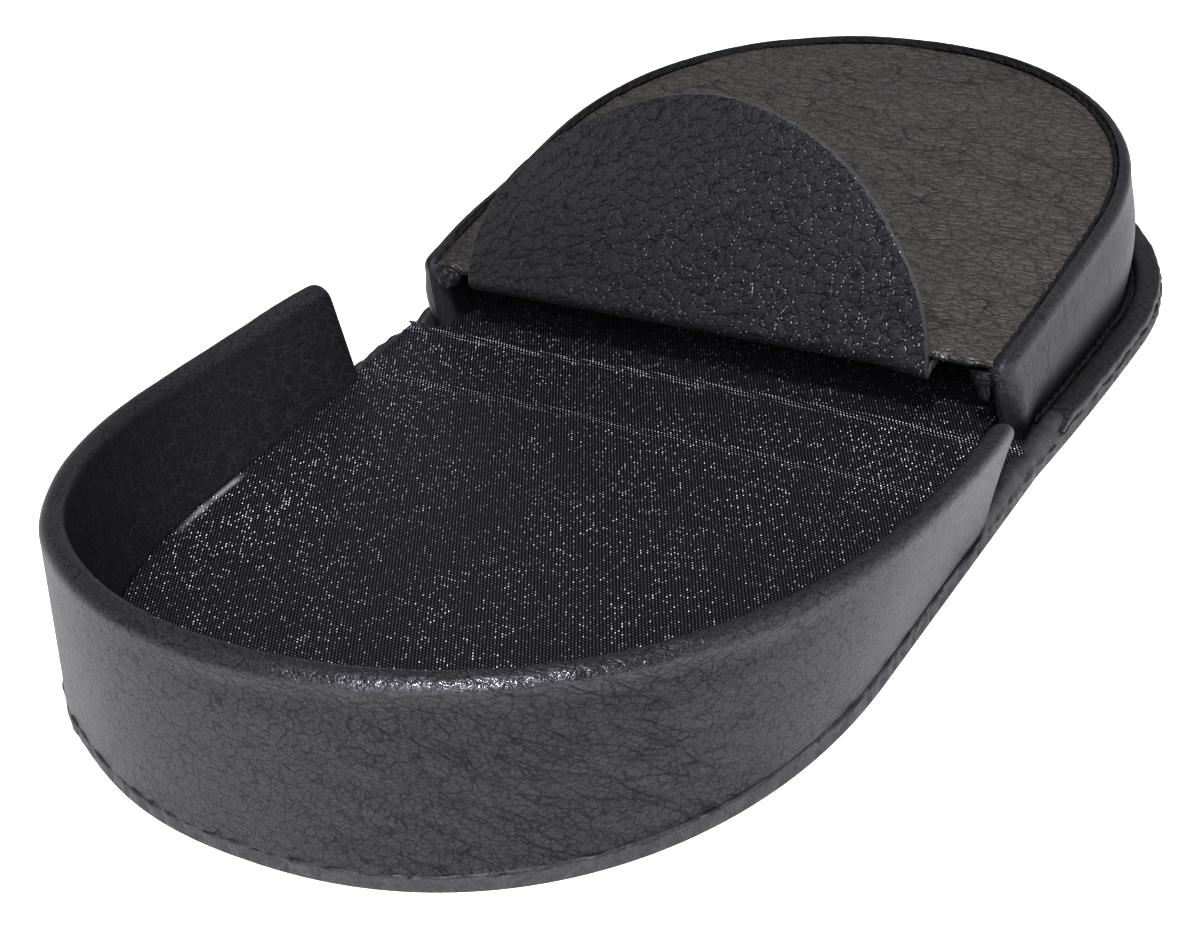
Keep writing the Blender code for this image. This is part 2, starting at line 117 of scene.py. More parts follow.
class PurseBase(PropertyGroup):
    sole_half: length("Lip half width", highest("box_sole").x, "Half width of the box's bottom leather")
    sole_reach: length("Box length", highest("box_sole").y - BOX_FOLD, "From the box's fold to its rear edge")
    box_run: length("Box straight run", 0.0320, "How far the box's sides run before its round end")
    sole_roundness: share("Lip roundness", 2.05, "Superellipse exponent of the lip's plan")
    spine_half: length("Spine half width", highest("spine_leather").x, "Half width at both folds")
    tray_half: length("Tray half width", highest("tray_sole").x, "Half width of the tray's bottom leather")
    tray_reach: length("Tray length", TRAY_FOLD - lowest("tray_sole").y, "From the fold to its front edge")
    tray_run: length("Tray straight run", 0.0280, "How far the tray's sides run before its round end")
    tray_roundness: share("Tray roundness", 2.23, "Superellipse exponent of the tray's plan")
    thickness: length("Bottom leather", highest("box_sole").z, "Thickness of the bottom leather")
    trim: length("Trim wander", 0.00022, "How far the hand-trimmed edge wanders")
    lining_top: length("Floor height", highest("spine_lining").z, "Top of the lining above the table")
    lining: length(
        "Lining thickness", highest("spine_lining").z - lowest("spine_lining").z, "Satin and its glue"
    )
    front_edge: length("Front edge", 0.0005, "Extra height of the bottom leather's edge round the tray")
    hem: length("Hem", 0.0013, "Bottom leather that shows beside the lining on the spine")
    swell: length("Swell", 0.0019, "How far the bottom leather swells up beside the spine's lining")
    crease_rise: length("Fold ridge", 0.00022, "Height of the ridges in the lining at each fold")
    bend: length("Bend", 0.0017, "Half of the stretch that bends at each fold")


class PurseTray(PropertyGroup):
    start: length("Wall start", 0.0012, "From the tray's fold to the wall's ends")
    foot_half: length("Foot half width", 0.0408, "Half width of the wall's foot")
    foot_reach: length("Foot reach", 0.0743, "From the tray's fold to the foot of the wall's front")
    foot_taper: length("Foot taper", 0.0003, "How far the foot draws in at the ends")
    rim_half: length("Rim half width", 0.0441, "Half width of the rim")
    rim_reach: length("Rim reach", 0.0738, "From the tray's fold to the rim's front")
    rim_run: length("Rim straight run", 0.0205, "How far the rim runs before its round end")
    rim_taper: length("Rim taper", 0.0010, "How far the rim draws in at the ends")
    rim_roundness: share("Rim roundness", 2.15, "Superellipse exponent of the rim's plan")
    height_ends: length("Height at the ends", 0.0113, "Rim above the lining at the wall's ends")
    height_front: length("Height at the front", 0.0191, "Rim above the lining at the front")
    front_lift: length("Front lift", 0.0001, "Extra height of the rim's flat crest at the front")
    thickness: length("Wall thickness", 0.0025, "Both leathers and the board between them")
    leather: length("Wall leather", 0.0009, "Thickness of the wall's leather")
    bead: length("Bead", 0.00012, "How far the rolled rim stands out beyond the wall")
    groove: length("Groove", 0.00030, "How far the wall draws in under the rolled rim")
    left_lift: length("Left end lift", 0.0008, "Extra height of the left end")
    left_dip: length("Left dip", 0.0009, "How far the left rim dips behind that end")
    front_kick: length("Front kick", 0.0013, "How far the foot stands out at the left of the front")
    left_advance: length("Left end advance", 0.0005, "How much farther the left end reaches over the spine")
    left_draw: length("Left end draw", 0.0003, "How far the left end draws inwards")
    right_splay: length("Right end splay", 0.0005, "How far the right end leans outwards at its top")
    corner: length("End corner", 0.0022, "Radius of the upper corner of each end")
    fold_depth: length("Fold depth", 0.00032, "Depth of the larger folds in the outer leather")
    stations: count("Stations", 340, "Steps along the wall")


class PurseBox(PropertyGroup):
    band_half: length(
        "Band half width", highest("box_band_leather").x + 0.0003, "Half width of the upright band"
    )
    band_reach: length(
        "Band reach", highest("box_band_leather").y - BOX_FOLD + 0.0003, "From the fold to the band's rear"
    )
    band_roundness: share("Band roundness", 2.12, "Superellipse exponent of the band's plan")
    band_taper: length("Mouth taper", 0.0009, "How far the band draws in at the mouth")
    band_start: length("Mouth setback", 0.0018, "From the box's fold to the band's ends")
    height_front: length("Height at the mouth", 0.0086, "Band above the lining at the mouth")
    height_rear: length("Height at the rear", 0.0170, "Band above the lining at the rear")
    band_leather: length("Band leather", 0.0015, "Thickness of the band's leather")
    band_total: length("Band thickness", 0.0028, "Leather, board and lining of the band")
    end_fold: length("End fold", 0.0060, "How far the band's leather is folded back inside at its ends")
    roll: length("Roll", 0.0014, "Radius of the band's upper edge")
    left_flare: length("Left flare", 0.0010, "How far the band stands out to the left at the mouth")
    right_lean: length("Right lean", 0.0019, "How far the foot of the band's right end lies behind its top")
    left_lean: length("Left lean", 0.0010, "The same at its left end")
    bulge: length("Bulge", 0.0007, "How far the band's leather swells halfway up")
    lip_groove: length("Lip groove", 0.0008, "Gap between the band and the lip's upper leather")
    lip_front: length("Lip front", 0.0080, "Where the lip's upper leather begins")
    lip_leather: length("Lip leather", 0.0010, "Thickness of the lip's upper leather")
    lip_setback: length("Lip setback", 0.0003, "Bottom leather that shows beyond the upper one")
    top_start: length("Top setback", 0.0024, "From the box's fold to the top's front edge")
    top_inset: length("Top inset", 0.0019, "From the band's outer face to the top's edge")
    top_leather: length("Top leather", 0.0010, "Thickness of the top's leather")
    top_edge: length("Top edge radius", 0.0006, "Radius of the top's edge in the seam")
    top_depth: length("Seam depth", 0.0003, "How far the top's edge lies below the band's")
    dome: length("Dome", 0.0008, "Rise of the slightly domed top")
    wrinkle: length("Wrinkle depth", 0.00020, "Depth of the wrinkles across the top")


class PurseTongue(PropertyGroup):
    half: length("Half width", highest("tongue").x, "Half width of the tongue at its root")
    reach: length("Length", 0.0251, "From the roll to the tip")
    thickness: length("Thickness", 0.0010, "Thickness of the tongue's leather")
    lean: degrees("Lean", 16, "Lean to the rear")
    roll: length("Roll space", 0.0007, "Inner radius of the roll")
    tail: length("Tail", 0.0040, "Length that is glued under the top")
    side_share: share("Side shape", 1.8, "Exponent of the sides of the outline")
    tip_share: share("Tip shape", 0.55, "Exponent of the tip of the outline")
    skew: length("Skew", 0.0009, "How far the tongue's root lies to the left of the middle")
    sag: length("Sag", 0.0008, "How far the right lower corner hangs down")
    pebble: length("Pebble", 0.0017, "Width of the milled grain's pebbles")
    pebble_depth: length("Pebble depth", 0.00003, "Depth of the furrows between the pebbles")


class PurseThread(PropertyGroup):
    stitch: length("Stitch", 0.0021, "Pitch of the stitches")
    radius: length("Thread radius", 0.00026, "Radius of the sewing thread")


class PurseColours(PropertyGroup):
    nappa: colour("Wall and band", "#18181B", "Black nappa of the wall, the band and the lip")
    # Darker than the outer nappa: painted shade inside the tray and the band
    inner: colour("Inner wall", "#09090B", "Black nappa inside the tray")
    # Lighter than the inner nappa: painted glints along the inner wall's creases
    inner_crease_glint: colour("Inner creases", "#242428", "Dry creases of the inner wall, short of dye")
    top: colour("Top", "#393636", "Milled leather of the top, faintly brown")
    top_cloud: colour("Top clouds", "#3D3637", "Reddish clouds in the top's dye")
    tongue: colour("Tongue", "#1B1B1F", "Blue-black milled leather of the tongue")
    sole: colour("Bottom", "#1A1A1C", "Bottom leather")
    cut: colour("Cut edge", "#3A3A3C", "Bare fibres of a trimmed edge")
    satin: colour("Lining", "#08080D", "Black satin")
    # Painted glints: the colour of the satin's floats where they catch the light
    glint: colour("Weave glints", "#F4F4FC", "Threads of the satin that catch the light")
    thread: colour("Thread", "#0D0D0F", "Black polyester thread")
    board: colour("Board", "#191715", "Bonded fibre board")
    webbing: colour("Webbing", "#19191B", "Woven reinforcement")
    floor: colour("Floor", "#ECECEC", "Matt white table")


class PurseStage(PropertyGroup):
    camera: FloatVectorProperty(
        name="Camera", default=(0.1135, -0.19315, 0.1309), unit="LENGTH", description="Place of the camera"
    )
    heading: degrees("Heading", 32.6, "From +y")
    dip: degrees("Dip", 31.09, "Below the horizon")
    tilt: degrees("Tilt", -5.65, "About the view")
    lens: share("Focal length", 68.7, "On a 36 mm wide sensor, in millimetres")


GROUPS = (
    (PurseBase, "purse_base"),
    (PurseTray, "purse_tray"),
    (PurseBox, "purse_box"),
    (PurseTongue, "purse_tongue"),
    (PurseThread, "purse_thread"),
    (PurseColours, "purse_colours"),
    (PurseStage, "purse_stage"),
)

# Share of a horseshoe's steps that lie on each straight side
SIDE_SHARE = 0.2222
# Place in the noise where every field starts
FIELD_SEED = 11.7
# Room that pieces leave each other, which glue fills
GLUE_GAP = 0.0001
# Share of the tray's wall, from its right end, round which hands have worn it most
HELD_SHARE = 0.365
# Step between a lining's rows of points at the front edge of a floor
ROW_STEP = 0.00008


def noise_field(points, size, seed=0.0):
    """Smooth noise of about -1 to 1 at each point; size is the length of its waves, or one for each axis."""
    scaled = points / np.asarray(size) + FIELD_SEED + seed
    return np.array([noise.noise(point) for point in scaled.tolist()])


def creases(points, size, width, seed=0.0):
    """1 along the bottom of creases, which follow the noise's zero lines, and 0 away from them."""
    return np.exp(-((noise_field(points, size, seed) / width) ** 2))


def pebbles(points, size, furrow=0.22, seed=0.0):
    """0 in the furrows between pebbles about size across, and 1 on top of them."""
    size = np.asarray(size)
    wander = np.stack([noise_field(points, size * 1.7, seed + turn) for turn in (3.1, 5.3, 8.9)], axis=1)
    scaled = points / size + 0.35 * wander + FIELD_SEED + seed
    nearest = np.array([noise.voronoi(point)[0][:2] for point in scaled.tolist()])
    return 1 - np.exp(-(((nearest[:, 1] - nearest[:, 0]) / furrow) ** 2))


def smooth_step(values, low, high):
    """0 below low and 1 above high, with a smooth passage between them."""
    t = np.clip((values - low) / (high - low), 0, 1)
    return t * t * (3 - 2 * t)


def horseshoe(half, reach, run, start, roundness, shares, taper=0.0, taper_start=0.0):
    """Points (x, d) of a U at shares of its steps, from 0 at its right end to 1 at its left end."""
    inward = 1 - np.abs(2 * shares - 1)
    d = start + (run - start) * np.minimum(inward / SIDE_SHARE, 1)
    drawn_in = taper * ((run - d) / (run - taper_start)) ** 2
    turn = np.clip((inward - SIDE_SHARE) / (1 - SIDE_SHARE), 0, 1) * math.pi / 2
    x = np.where(inward < SIDE_SHARE, half - drawn_in, half * np.cos(turn).clip(0) ** (2 / roundness))
    d = np.where(inward < SIDE_SHARE, d, run + (reach - run) * np.sin(turn) ** (2 / roundness))
    return np.stack((np.where(shares < 0.5, x, -x), d), axis=1)


def arc_lengths(points):
    """How far along a path each of its points lies."""
    steps = np.linalg.norm(np.diff(points, axis=0), axis=1)
    return np.concatenate(([0], np.cumsum(steps)))


def inward_normals(points):
    """Unit normals of a horseshoe's plan, pointing to its inside."""
    along = np.gradient(points, axis=0)
    normals = np.stack((along[:, 1], -along[:, 0]), axis=1) * -1
    return normals / np.linalg.norm(normals, axis=1)[:, None]


def make_piece(name, points, faces, places, slots=None, sharp=50):
    """A mesh object with its normals outwards; places are its points on the flat, uncut material."""
    mesh = bpy.data.meshes.new(name)
    mesh.from_pydata(points.tolist(), [], faces)
    if slots is not None:
        mesh.polygons.foreach_set("material_index", slots)
    bm = bmesh.new()
    bm.from_mesh(mesh)
    bmesh.ops.recalc_face_normals(bm, faces=bm.faces)
    bm.to_mesh(mesh)
    bm.free()
    attribute = mesh.attributes.new("place", "FLOAT_VECTOR", "POINT")
    attribute.data.foreach_set("vector", np.asarray(places, np.float32).ravel())
    mesh.shade_smooth()
    mesh.set_sharp_from_angle(angle=math.radians(sharp))
    piece = bpy.data.objects.new(name, mesh)
    bpy.context.scene.collection.objects.link(piece)
    return piece


def points_of(piece):
    """The points of a mesh, as an array."""
    return np.array([vertex.co for vertex in piece.data.vertices])


def move_to(piece, points):
    """Gives a mesh's points new places, one row of the array for each."""
    piece.data.vertices.foreach_set("co", points.ravel())
    piece.data.update()


def push(piece, depths):
    """Moves each point of a mesh along its normal."""
    normals = np.array([vertex.normal for vertex in piece.data.vertices])
    move_to(piece, points_of(piece) + normals * depths[:, None])


def note(piece, name, values):
    """Keeps one number for each point, such as how deep in a crease it lies, for the material to read."""
    attribute = piece.data.attributes.new(name, "FLOAT", "POINT")
    attribute.data.foreach_set("value", np.asarray(values, np.float32))


def paint(piece, *materials):
    """Gives a mesh its materials; its faces keep their slots."""
    slots = np.zeros(len(piece.data.polygons), np.int32)
    piece.data.polygons.foreach_get("material_index", slots)
    piece.data.materials.clear()
    for made in materials:
        piece.data.materials.append(made)
    piece.data.polygons.foreach_set("material_index", np.minimum(slots, len(materials) - 1))


def on_line(lengths):
    """Points on a straight line, for noise that follows a piece's length alone."""
    return np.column_stack((lengths, np.zeros(len(lengths)), np.zeros(len(lengths))))


def unrolled(loops, lengths):
    """Where a lofted strip's points lie on its flat leather: along the strip, and round its section."""
    steps = np.linalg.norm(np.diff(loops, axis=1), axis=2)
    way = np.concatenate((np.zeros((len(loops), 1)), np.cumsum(steps, axis=1)), axis=1)
    along = np.repeat(lengths, loops.shape[1])
    return np.column_stack((along, way.ravel(), np.zeros(way.size)))


def loft(loops):
    """Quads through a row of closed loops, an array of (loops, points, 3), with a cap at each end."""
    rows, around = loops.shape[:2]
    numbers = np.arange(rows * around).reshape(rows, around)
    following = np.roll(numbers, -1, axis=1)
    quads = np.stack((numbers[:-1], following[:-1], following[1:], numbers[1:]), axis=-1).reshape(-1, 4)
    faces = quads.tolist() + [numbers[0].tolist(), numbers[-1][::-1].tolist()]
    return loops.reshape(-1, 3), faces


def slab(half, along, across, thickness, radius, joint=None, crowded=0.0):
    """A closed sheet as (u, v, depth) points, faces and slots, slot 1 being its cut edge.

    half and along give the outline of the flat part of its upper face, row by row. The edge rounds off
    by radius beyond it. At v = joint, its lowest v, the sheet meets its other half, and its end is
    square. Crowded is how much closer its columns stand towards both sides.
    """
    even = np.linspace(-1, 1, across + 1)
    columns = even + crowded * (np.sin(even * math.pi / 2) - even)
    u = half[:, None] * columns[None, :]
    v = np.repeat(along[:, None], across + 1, axis=1)
    rows = len(half)
    numbers = np.arange(rows * (across + 1)).reshape(rows, across + 1)
    corners = (numbers[:-1, :-1], numbers[:-1, 1:], numbers[1:, 1:], numbers[1:, :-1])
    top = np.stack(corners, axis=-1).reshape(-1, 4)
    ring = np.concatenate((numbers[0], numbers[1:, -1], numbers[-1, -2::-1], numbers[-2:0:-1, 0]))
    flat = np.stack((u.ravel(), v.ravel()), axis=1)
    edge = flat[ring]
    tangent = np.roll(edge, -1, axis=0) - np.roll(edge, 1, axis=0)
    outward = np.stack((tangent[:, 1], -tangent[:, 0]), axis=1)
    outward /= np.linalg.norm(outward, axis=1)[:, None] + 1e-12
    turns = np.linspace(0, math.pi / 2, 5)[1:]
    profile = [(radius * math.sin(t), radius * (1 - math.cos(t))) for t in turns]
    profile += [(radius, thickness * middle) for middle in (0.5, 0.75)] + [(radius * 0.6, thickness)]
    points = [np.column_stack((flat, np.zeros(len(flat))))]
    loops = [ring]
    total = len(flat)
    for out, depth in profile:
        moved = edge + outward * out
        if joint is not None:
            moved[:, 1] = np.maximum(moved[:, 1], joint)
        points.append(np.column_stack((moved, np.full(len(moved), depth))))
        loops.append(np.arange(total, total + len(moved)))
        total += len(moved)
    points.append(np.column_stack((flat, np.full(len(flat), thickness))))
    loops.append(ring + total)
    faces = top.tolist() + (top[:, ::-1] + total).tolist()
    slots = [0] * len(faces)
    # The first three steps of the rounding still show the material's face
    for step, (upper, lower) in enumerate(zip(loops, loops[1:])):
        quads = np.stack((upper, lower, np.roll(lower, -1), np.roll(upper, -1)), axis=-1)
        faces += quads.tolist()
        slots += [int(step > 2)] * len(quads)
    return np.concatenate(points), faces, slots


def edge_of_slab(points, rows, across):
    """1 for the points on a slab's edge, between its upper and its lower face, and 0 for the others."""
    face = rows * (across + 1)
    at_edge = np.zeros(len(points))
    at_edge[face : len(points) - face] = 1
    return at_edge


def outline_rows(plan, rows):
    """Half widths and distances of the right side of a plan, about equally far apart."""
    # It ends just before the tip, where its width would be nothing
    dense = np.linspace(0, 0.4975, 3000)
    lengths = arc_lengths(plan(dense))
    shares = np.interp(np.linspace(0, lengths[-1], rows), lengths, dense)
    points = plan(shares)
    return points[:, 0], points[:, 1]


def with_spine(before, spine_half, half, along):
    """Adds rows that are as wide as the spine before those of a plan."""
    return np.concatenate((np.full(len(before), spine_half), half)), np.concatenate((before, along))


def linear(code):
    """A hex sRGB colour as linear numbers."""
    parts = [int(code[i : i + 2], 16) / 255 for i in (1, 3, 5)]
    return [part / 12.92 if part <= 0.04045 else ((part + 0.055) / 1.055) ** 2.4 for part in parts] + [1.0]


def feed(tree, node, inputs):
    """Sets a node's inputs, each a value, a node's output, or a node whose first output is meant."""
    for name, value in inputs.items():
        if isinstance(value, bpy.types.Node):
            value = next(output for output in value.outputs if output.enabled)
        if isinstance(value, bpy.types.NodeSocket):
            tree.links.new(value, node.inputs[name])
        else:
            node.inputs[name].default_value = value


def add(tree, kind, inputs=None, output=None, **settings):
    """Adds a node with its settings and links, and returns it, or its output where one is named."""
    made = tree.nodes.new(kind)
    for name, value in settings.items():
        setattr(made, name, value)
    feed(tree, made, inputs or {})
    return made.outputs[output] if output else made


def new_material(name):
    """An empty material with a Principled shader; returns the material, its tree and the shader."""
    made = bpy.data.materials.new(name)
    made.use_nodes = True
    return made, made.node_tree, made.node_tree.nodes["Principled BSDF"]


def furrow_net(tree, place, along, across, angle, width, seed, everywhere=False):
    """Lines between irregular cells: 1 on a line, 0 inside a cell. Unless everywhere, it fades in and out."""
    laid = {
        "Vector": place,
        "Location": (seed * 0.01, seed * 0.013, 0.0),
        "Rotation": (0.0, 0.0, math.radians(angle)),
        "Scale": (along, across, across),
    }
    mapped = add(tree, "ShaderNodeMapping", laid, vector_type="TEXTURE")
    drift = add(tree, "ShaderNodeTexNoise", {"Vector": mapped, "Scale": 1.3, "Detail": 2.0}, "Color")
    sway = {0: drift, 1: (0.6, 0.6, 0.6), 2: mapped}
    bent = add(tree, "ShaderNodeVectorMath", sway, operation="MULTIPLY_ADD")
    cells = add(tree, "ShaderNodeTexVoronoi", {"Vector": bent, "Scale": 1.0}, feature="DISTANCE_TO_EDGE")
    limits = {"Value": cells, "From Min": 0.0, "From Max": width, "To Min": 1.0, "To Max": 0.0}
    line = add(tree, "ShaderNodeMapRange", limits, interpolation_type="SMOOTHSTEP")
    if everywhere:
        return line
    cover = add(tree, "ShaderNodeTexNoise", {"Vector": mapped, "Scale": 0.55, "Detail": 2.0})
    shown = add(tree, "ShaderNodeMapRange", {"Value": cover, "From Min": 0.36, "From Max": 0.60})
    return add(tree, "ShaderNodeMath", {0: line, 1: shown}, operation="MULTIPLY")


# Each leather's colour, nets of furrows, (size and depth of its grain, roughness), and what differs from
# the defaults of leather(). A net is (length of its cells, their width, angle in degrees, furrow's width as
# a share of a cell, how dark its furrows are, their depth, seed, whether it lies everywhere, the mesh's
# value that limits it).
LEATHERS = {
    # Chrome-tanned nappa, lightly corrected and sprayed: soft sheen, thread-fine crackle, slanted wrinkles
    "nappa_leather": (
        "nappa",
        (
            (0.0015, 0.0011, 20, 0.070, 0.68, 0.000023, 1, True, None),
            (0.0007, 0.0005, 30, 0.105, 0.54, 0.000009, 2, True, None),
            (0.0060, 0.0016, 31, 0.070, 0.55, 0.000100, 3, False, "wear_and_glint"),
            (0.0026, 0.0008, 28, 0.100, 0.28, 0.000030, 4, True, "wear_and_glint"),
        ),
        (0.00022, 0.000016, 0.46),
        {"shine": 0.45},
    ),
    # The same nappa pulled over the box's edge: smoother, with faint upright wrinkles
    "nappa_leather_box": (
        "nappa",
        (
            (0.0048, 0.0013, 84, 0.060, 0.50, 0.000022, 5, False, None),
            (0.0010, 0.0007, 60, 0.090, 0.50, 0.000010, 6, True, None),
        ),
        (0.00022, 0.000016, 0.46),
        {},
    ),
    # The same nappa inside the tray and on the band's inner faces, where hands haven't polished it: duller,
    # with a tighter grain. Its darker colour is painted shade, and its lighter creases are painted glints
    "nappa_leather_inner_painted_shade": (
        "inner",
        (
            (0.0014, 0.0010, 30, 0.40, 0.06, 0.000016, 7, True, None),
            (0.0014, 0.0010, 30, 0.10, 0.85, 0.000008, 7, False, None),
            (0.0007, 0.0005, 0, 0.12, 0.45, 0.000008, 8, False, None),
        ),
        (0.0002, 0.000015, 0.6),
        {"line": "inner_crease_glint", "shine": 0.20},
    ),
    # Drum-milled cowhide: flat pebbles drawn out across the purse, with reddish clouds from uneven dye
    "milled_cowhide_top": (
        "top",
        (
            (0.0022, 0.0010, 2, 0.45, 0.12, 0.000100, 9, True, None),
            (0.0022, 0.0010, 2, 0.08, 0.70, 0.000030, 9, True, None),
            (0.0070, 0.0022, -3, 0.07, 0.80, 0.000120, 10, False, None),
            (0.0008, 0.0005, 8, 0.14, 0.50, 0.000014, 11, True, None),
        ),
        (0.0002, 0.000022, 0.5),
        {"tint": "#FFFDFC", "clouds": "top_cloud"},
    ),
    # Heavily milled blue-black cowhide: polygonal pebbles with a waxy finish, whose glints along the furrows
    # are painted into its colour as light flecks
    "milled_cowhide_tongue": (
        "tongue",
        (
            (0.0018, 0.0012, 62, 0.075, 0.80, 0.000030, 12, True, None),
            (0.0018, 0.0012, 62, 0.45, 0.20, 0.000040, 12, True, None),
            (0.0006, 0.0005, 60, 0.090, 0.40, 0.000008, 13, True, None),
        ),
        (0.0002, 0.000010, 0.44),
        {"flecks": 1.0},
    ),
    # Smooth side of the bottom leather, where it shows beside the lip and the spine
    "side_leather": (
        "sole",
        (
            (0.0024, 0.0020, 15, 0.045, 0.45, 0.000020, 14, False, None),
            (0.0009, 0.0008, 70, 0.080, 0.35, 0.000010, 15, False, None),
        ),
        (0.0002, 0.000020, 0.5),
        {},
    ),
    # Trimmed and dyed edge of the bottom leather: dark blocks of dye between pale cracks
    "dyed_leather_edge": (
        "sole",
        (
            (0.0034, 0.0026, 15, 0.07, 0.35, 0.000060, 16, True, None),
            (0.0011, 0.0009, 70, 0.10, 0.15, 0.000030, 17, False, None),
        ),
        (0.0002, 0.00005, 0.6),
        {"line": "cut"},
    ),
}


def leather(
    name, code, nets, grain, grain_depth, roughness,
    tint="#F0EEFF", clouds=None, line=None, flecks=0.0, shine=0.5,
):
    """Finished leather with nets of furrows, whose bottoms have the line colour or are nearly black.

    The mesh's furrow value mixes the same colour in where a piece notes it: most of it painted shade,
    and bare fibres on a cut edge.
    """
    made, tree, shader = new_material(name)
    place = add(tree, "ShaderNodeAttribute", output="Vector", attribute_name="place")
    gloss_share = add(tree, "ShaderNodeAttribute", output="Fac", attribute_name="gloss")
    painted_shade_and_bare_fibres = add(tree, "ShaderNodeAttribute", output="Fac", attribute_name="furrow")
    grit = {"Vector": place, "Scale": 0.7 / grain, "Detail": 3.0, "Roughness": 0.6}
    dust = add(tree, "ShaderNodeTexNoise", grit)
    # Where the leather is rubbed to a shine, small puckers break the light into glints
    puckers = add(tree, "ShaderNodeTexNoise", {"Vector": place, "Scale": 1500.0, "Detail": 1.0})
    glints = add(tree, "ShaderNodeMath", {0: puckers, 1: gloss_share}, operation="MULTIPLY")
    grained = add(tree, "ShaderNodeMath", {0: dust, 1: grain_depth}, operation="MULTIPLY")
    height = add(tree, "ShaderNodeMath", {0: glints, 1: 0.00015, 2: grained}, operation="MULTIPLY_ADD")
    limits = {"Value": dust, "From Min": 0.38, "From Max": 0.58, "To Min": 0.62}
    tone = add(tree, "ShaderNodeMapRange", limits)
    # The mesh's furrow value, broken up by the noise, darkens the leather towards its furrow colour: painted
    # shade in folds, grooves and hollows, and bare fibres on a cut edge
    limits = {"Value": dust, "From Min": 0.62, "From Max": 0.42, "To Min": 0.3}
    breakup = add(tree, "ShaderNodeMapRange", limits)
    broken_up = add(tree, "ShaderNodeMath", {0: painted_shade_and_bare_fibres, 1: breakup}, operation="MULTIPLY")
    open_part = add(tree, "ShaderNodeMath", {0: 1.0, 1: broken_up}, operation="SUBTRACT")
    smooth = add(tree, "ShaderNodeMath", {0: open_part, 1: tone}, operation="MULTIPLY")
    first = None
    for along, across, angle, width, dark, depth, seed, everywhere, limit in nets:
        furrow = furrow_net(tree, place, along, across, angle, width, seed, everywhere)
        if limit:
            share_here = add(tree, "ShaderNodeAttribute", output="Fac", attribute_name=limit)
            furrow = add(tree, "ShaderNodeMath", {0: furrow, 1: share_here}, operation="MULTIPLY")
        first = first or furrow
        kept = add(tree, "ShaderNodeMath", {0: furrow, 1: -dark, 2: 1.0}, operation="MULTIPLY_ADD")
        smooth = add(tree, "ShaderNodeMath", {0: smooth, 1: kept}, operation="MULTIPLY")
        height = add(tree, "ShaderNodeMath", {0: furrow, 1: -depth, 2: height}, operation="MULTIPLY_ADD")

    base = linear(code)
    cloud = add(tree, "ShaderNodeTexNoise", {"Vector": place, "Scale": 110.0, "Detail": 3.0})
    spread = add(tree, "ShaderNodeMapRange", {"Value": cloud, "From Min": 0.42, "From Max": 0.62})
    dyes = {"Factor": spread, "A": base, "B": linear(clouds or code)}
    cloudy = add(tree, "ShaderNodeMix", dyes, data_type="RGBA")
    deep = linear(line) if line else [part * 0.25 for part in base[:3]] + [1.0]
    seen = add(tree, "ShaderNodeMix", {"Factor": smooth, "A": deep, "B": cloudy}, data_type="RGBA")
    limits = {"Value": smooth, "To Min": shine if line else 0.1, "To Max": shine}
    kept = add(tree, "ShaderNodeMapRange", limits)
    polish = add(tree, "ShaderNodeMath", {0: gloss_share, 1: 0.3, 2: kept}, operation="MULTIPLY_ADD")
    limits = {"Value": dust, "To Min": roughness - 0.12, "To Max": roughness + 0.12}
    matt = add(tree, "ShaderNodeMapRange", limits)
    sleek = add(tree, "ShaderNodeMath", {0: gloss_share, 1: -0.36, 2: matt}, operation="MULTIPLY_ADD")
    if flecks:
        # Upright furrows catch the light in short flecks, painted into the colour as light specks, more of
        # them where the mesh notes more glint
        shifted = add(tree, "ShaderNodeVectorMath", {0: place, 1: (0.00008, 0.0, 0.0)}, operation="ADD")
        along, across, angle, width, dark, depth, seed, everywhere, limit = nets[0]
        beside = furrow_net(tree, shifted, along, across, angle, width * 1.2, seed, everywhere)
        slope = add(tree, "ShaderNodeMath", {0: first, 1: beside}, operation="SUBTRACT")
        upright = add(tree, "ShaderNodeMapRange", {"Value": slope, "From Min": 0.25, "From Max": 0.6})
        specks = add(tree, "ShaderNodeTexNoise", {"Vector": place, "Scale": 4200.0, "Detail": 1.0})
        limits = {"Value": specks, "From Min": 0.57, "From Max": 0.65, "To Max": flecks}
        lucky = add(tree, "ShaderNodeMapRange", limits)
        wear_and_glint = add(tree, "ShaderNodeAttribute", output="Fac", attribute_name="wear_and_glint")
        lit = add(tree, "ShaderNodeMath", {0: lucky, 1: wear_and_glint}, operation="MULTIPLY")
        fleck = add(tree, "ShaderNodeMath", {0: upright, 1: lit}, operation="MULTIPLY")
        lights = {"Factor": fleck, "A": seen, "B": linear("#C8C8D2")}
        seen = add(tree, "ShaderNodeMix", lights, data_type="RGBA")
    inputs = {
        "Normal": add(tree, "ShaderNodeBump", {"Height": height, "Distance": 1.0}),
        "Base Color": seen,
        "Specular IOR Level": polish,
        "Roughness": sleek,
        "Specular Tint": linear(tint),
        "IOR": 1.5,
    }
    feed(tree, shader, inputs)
    return made


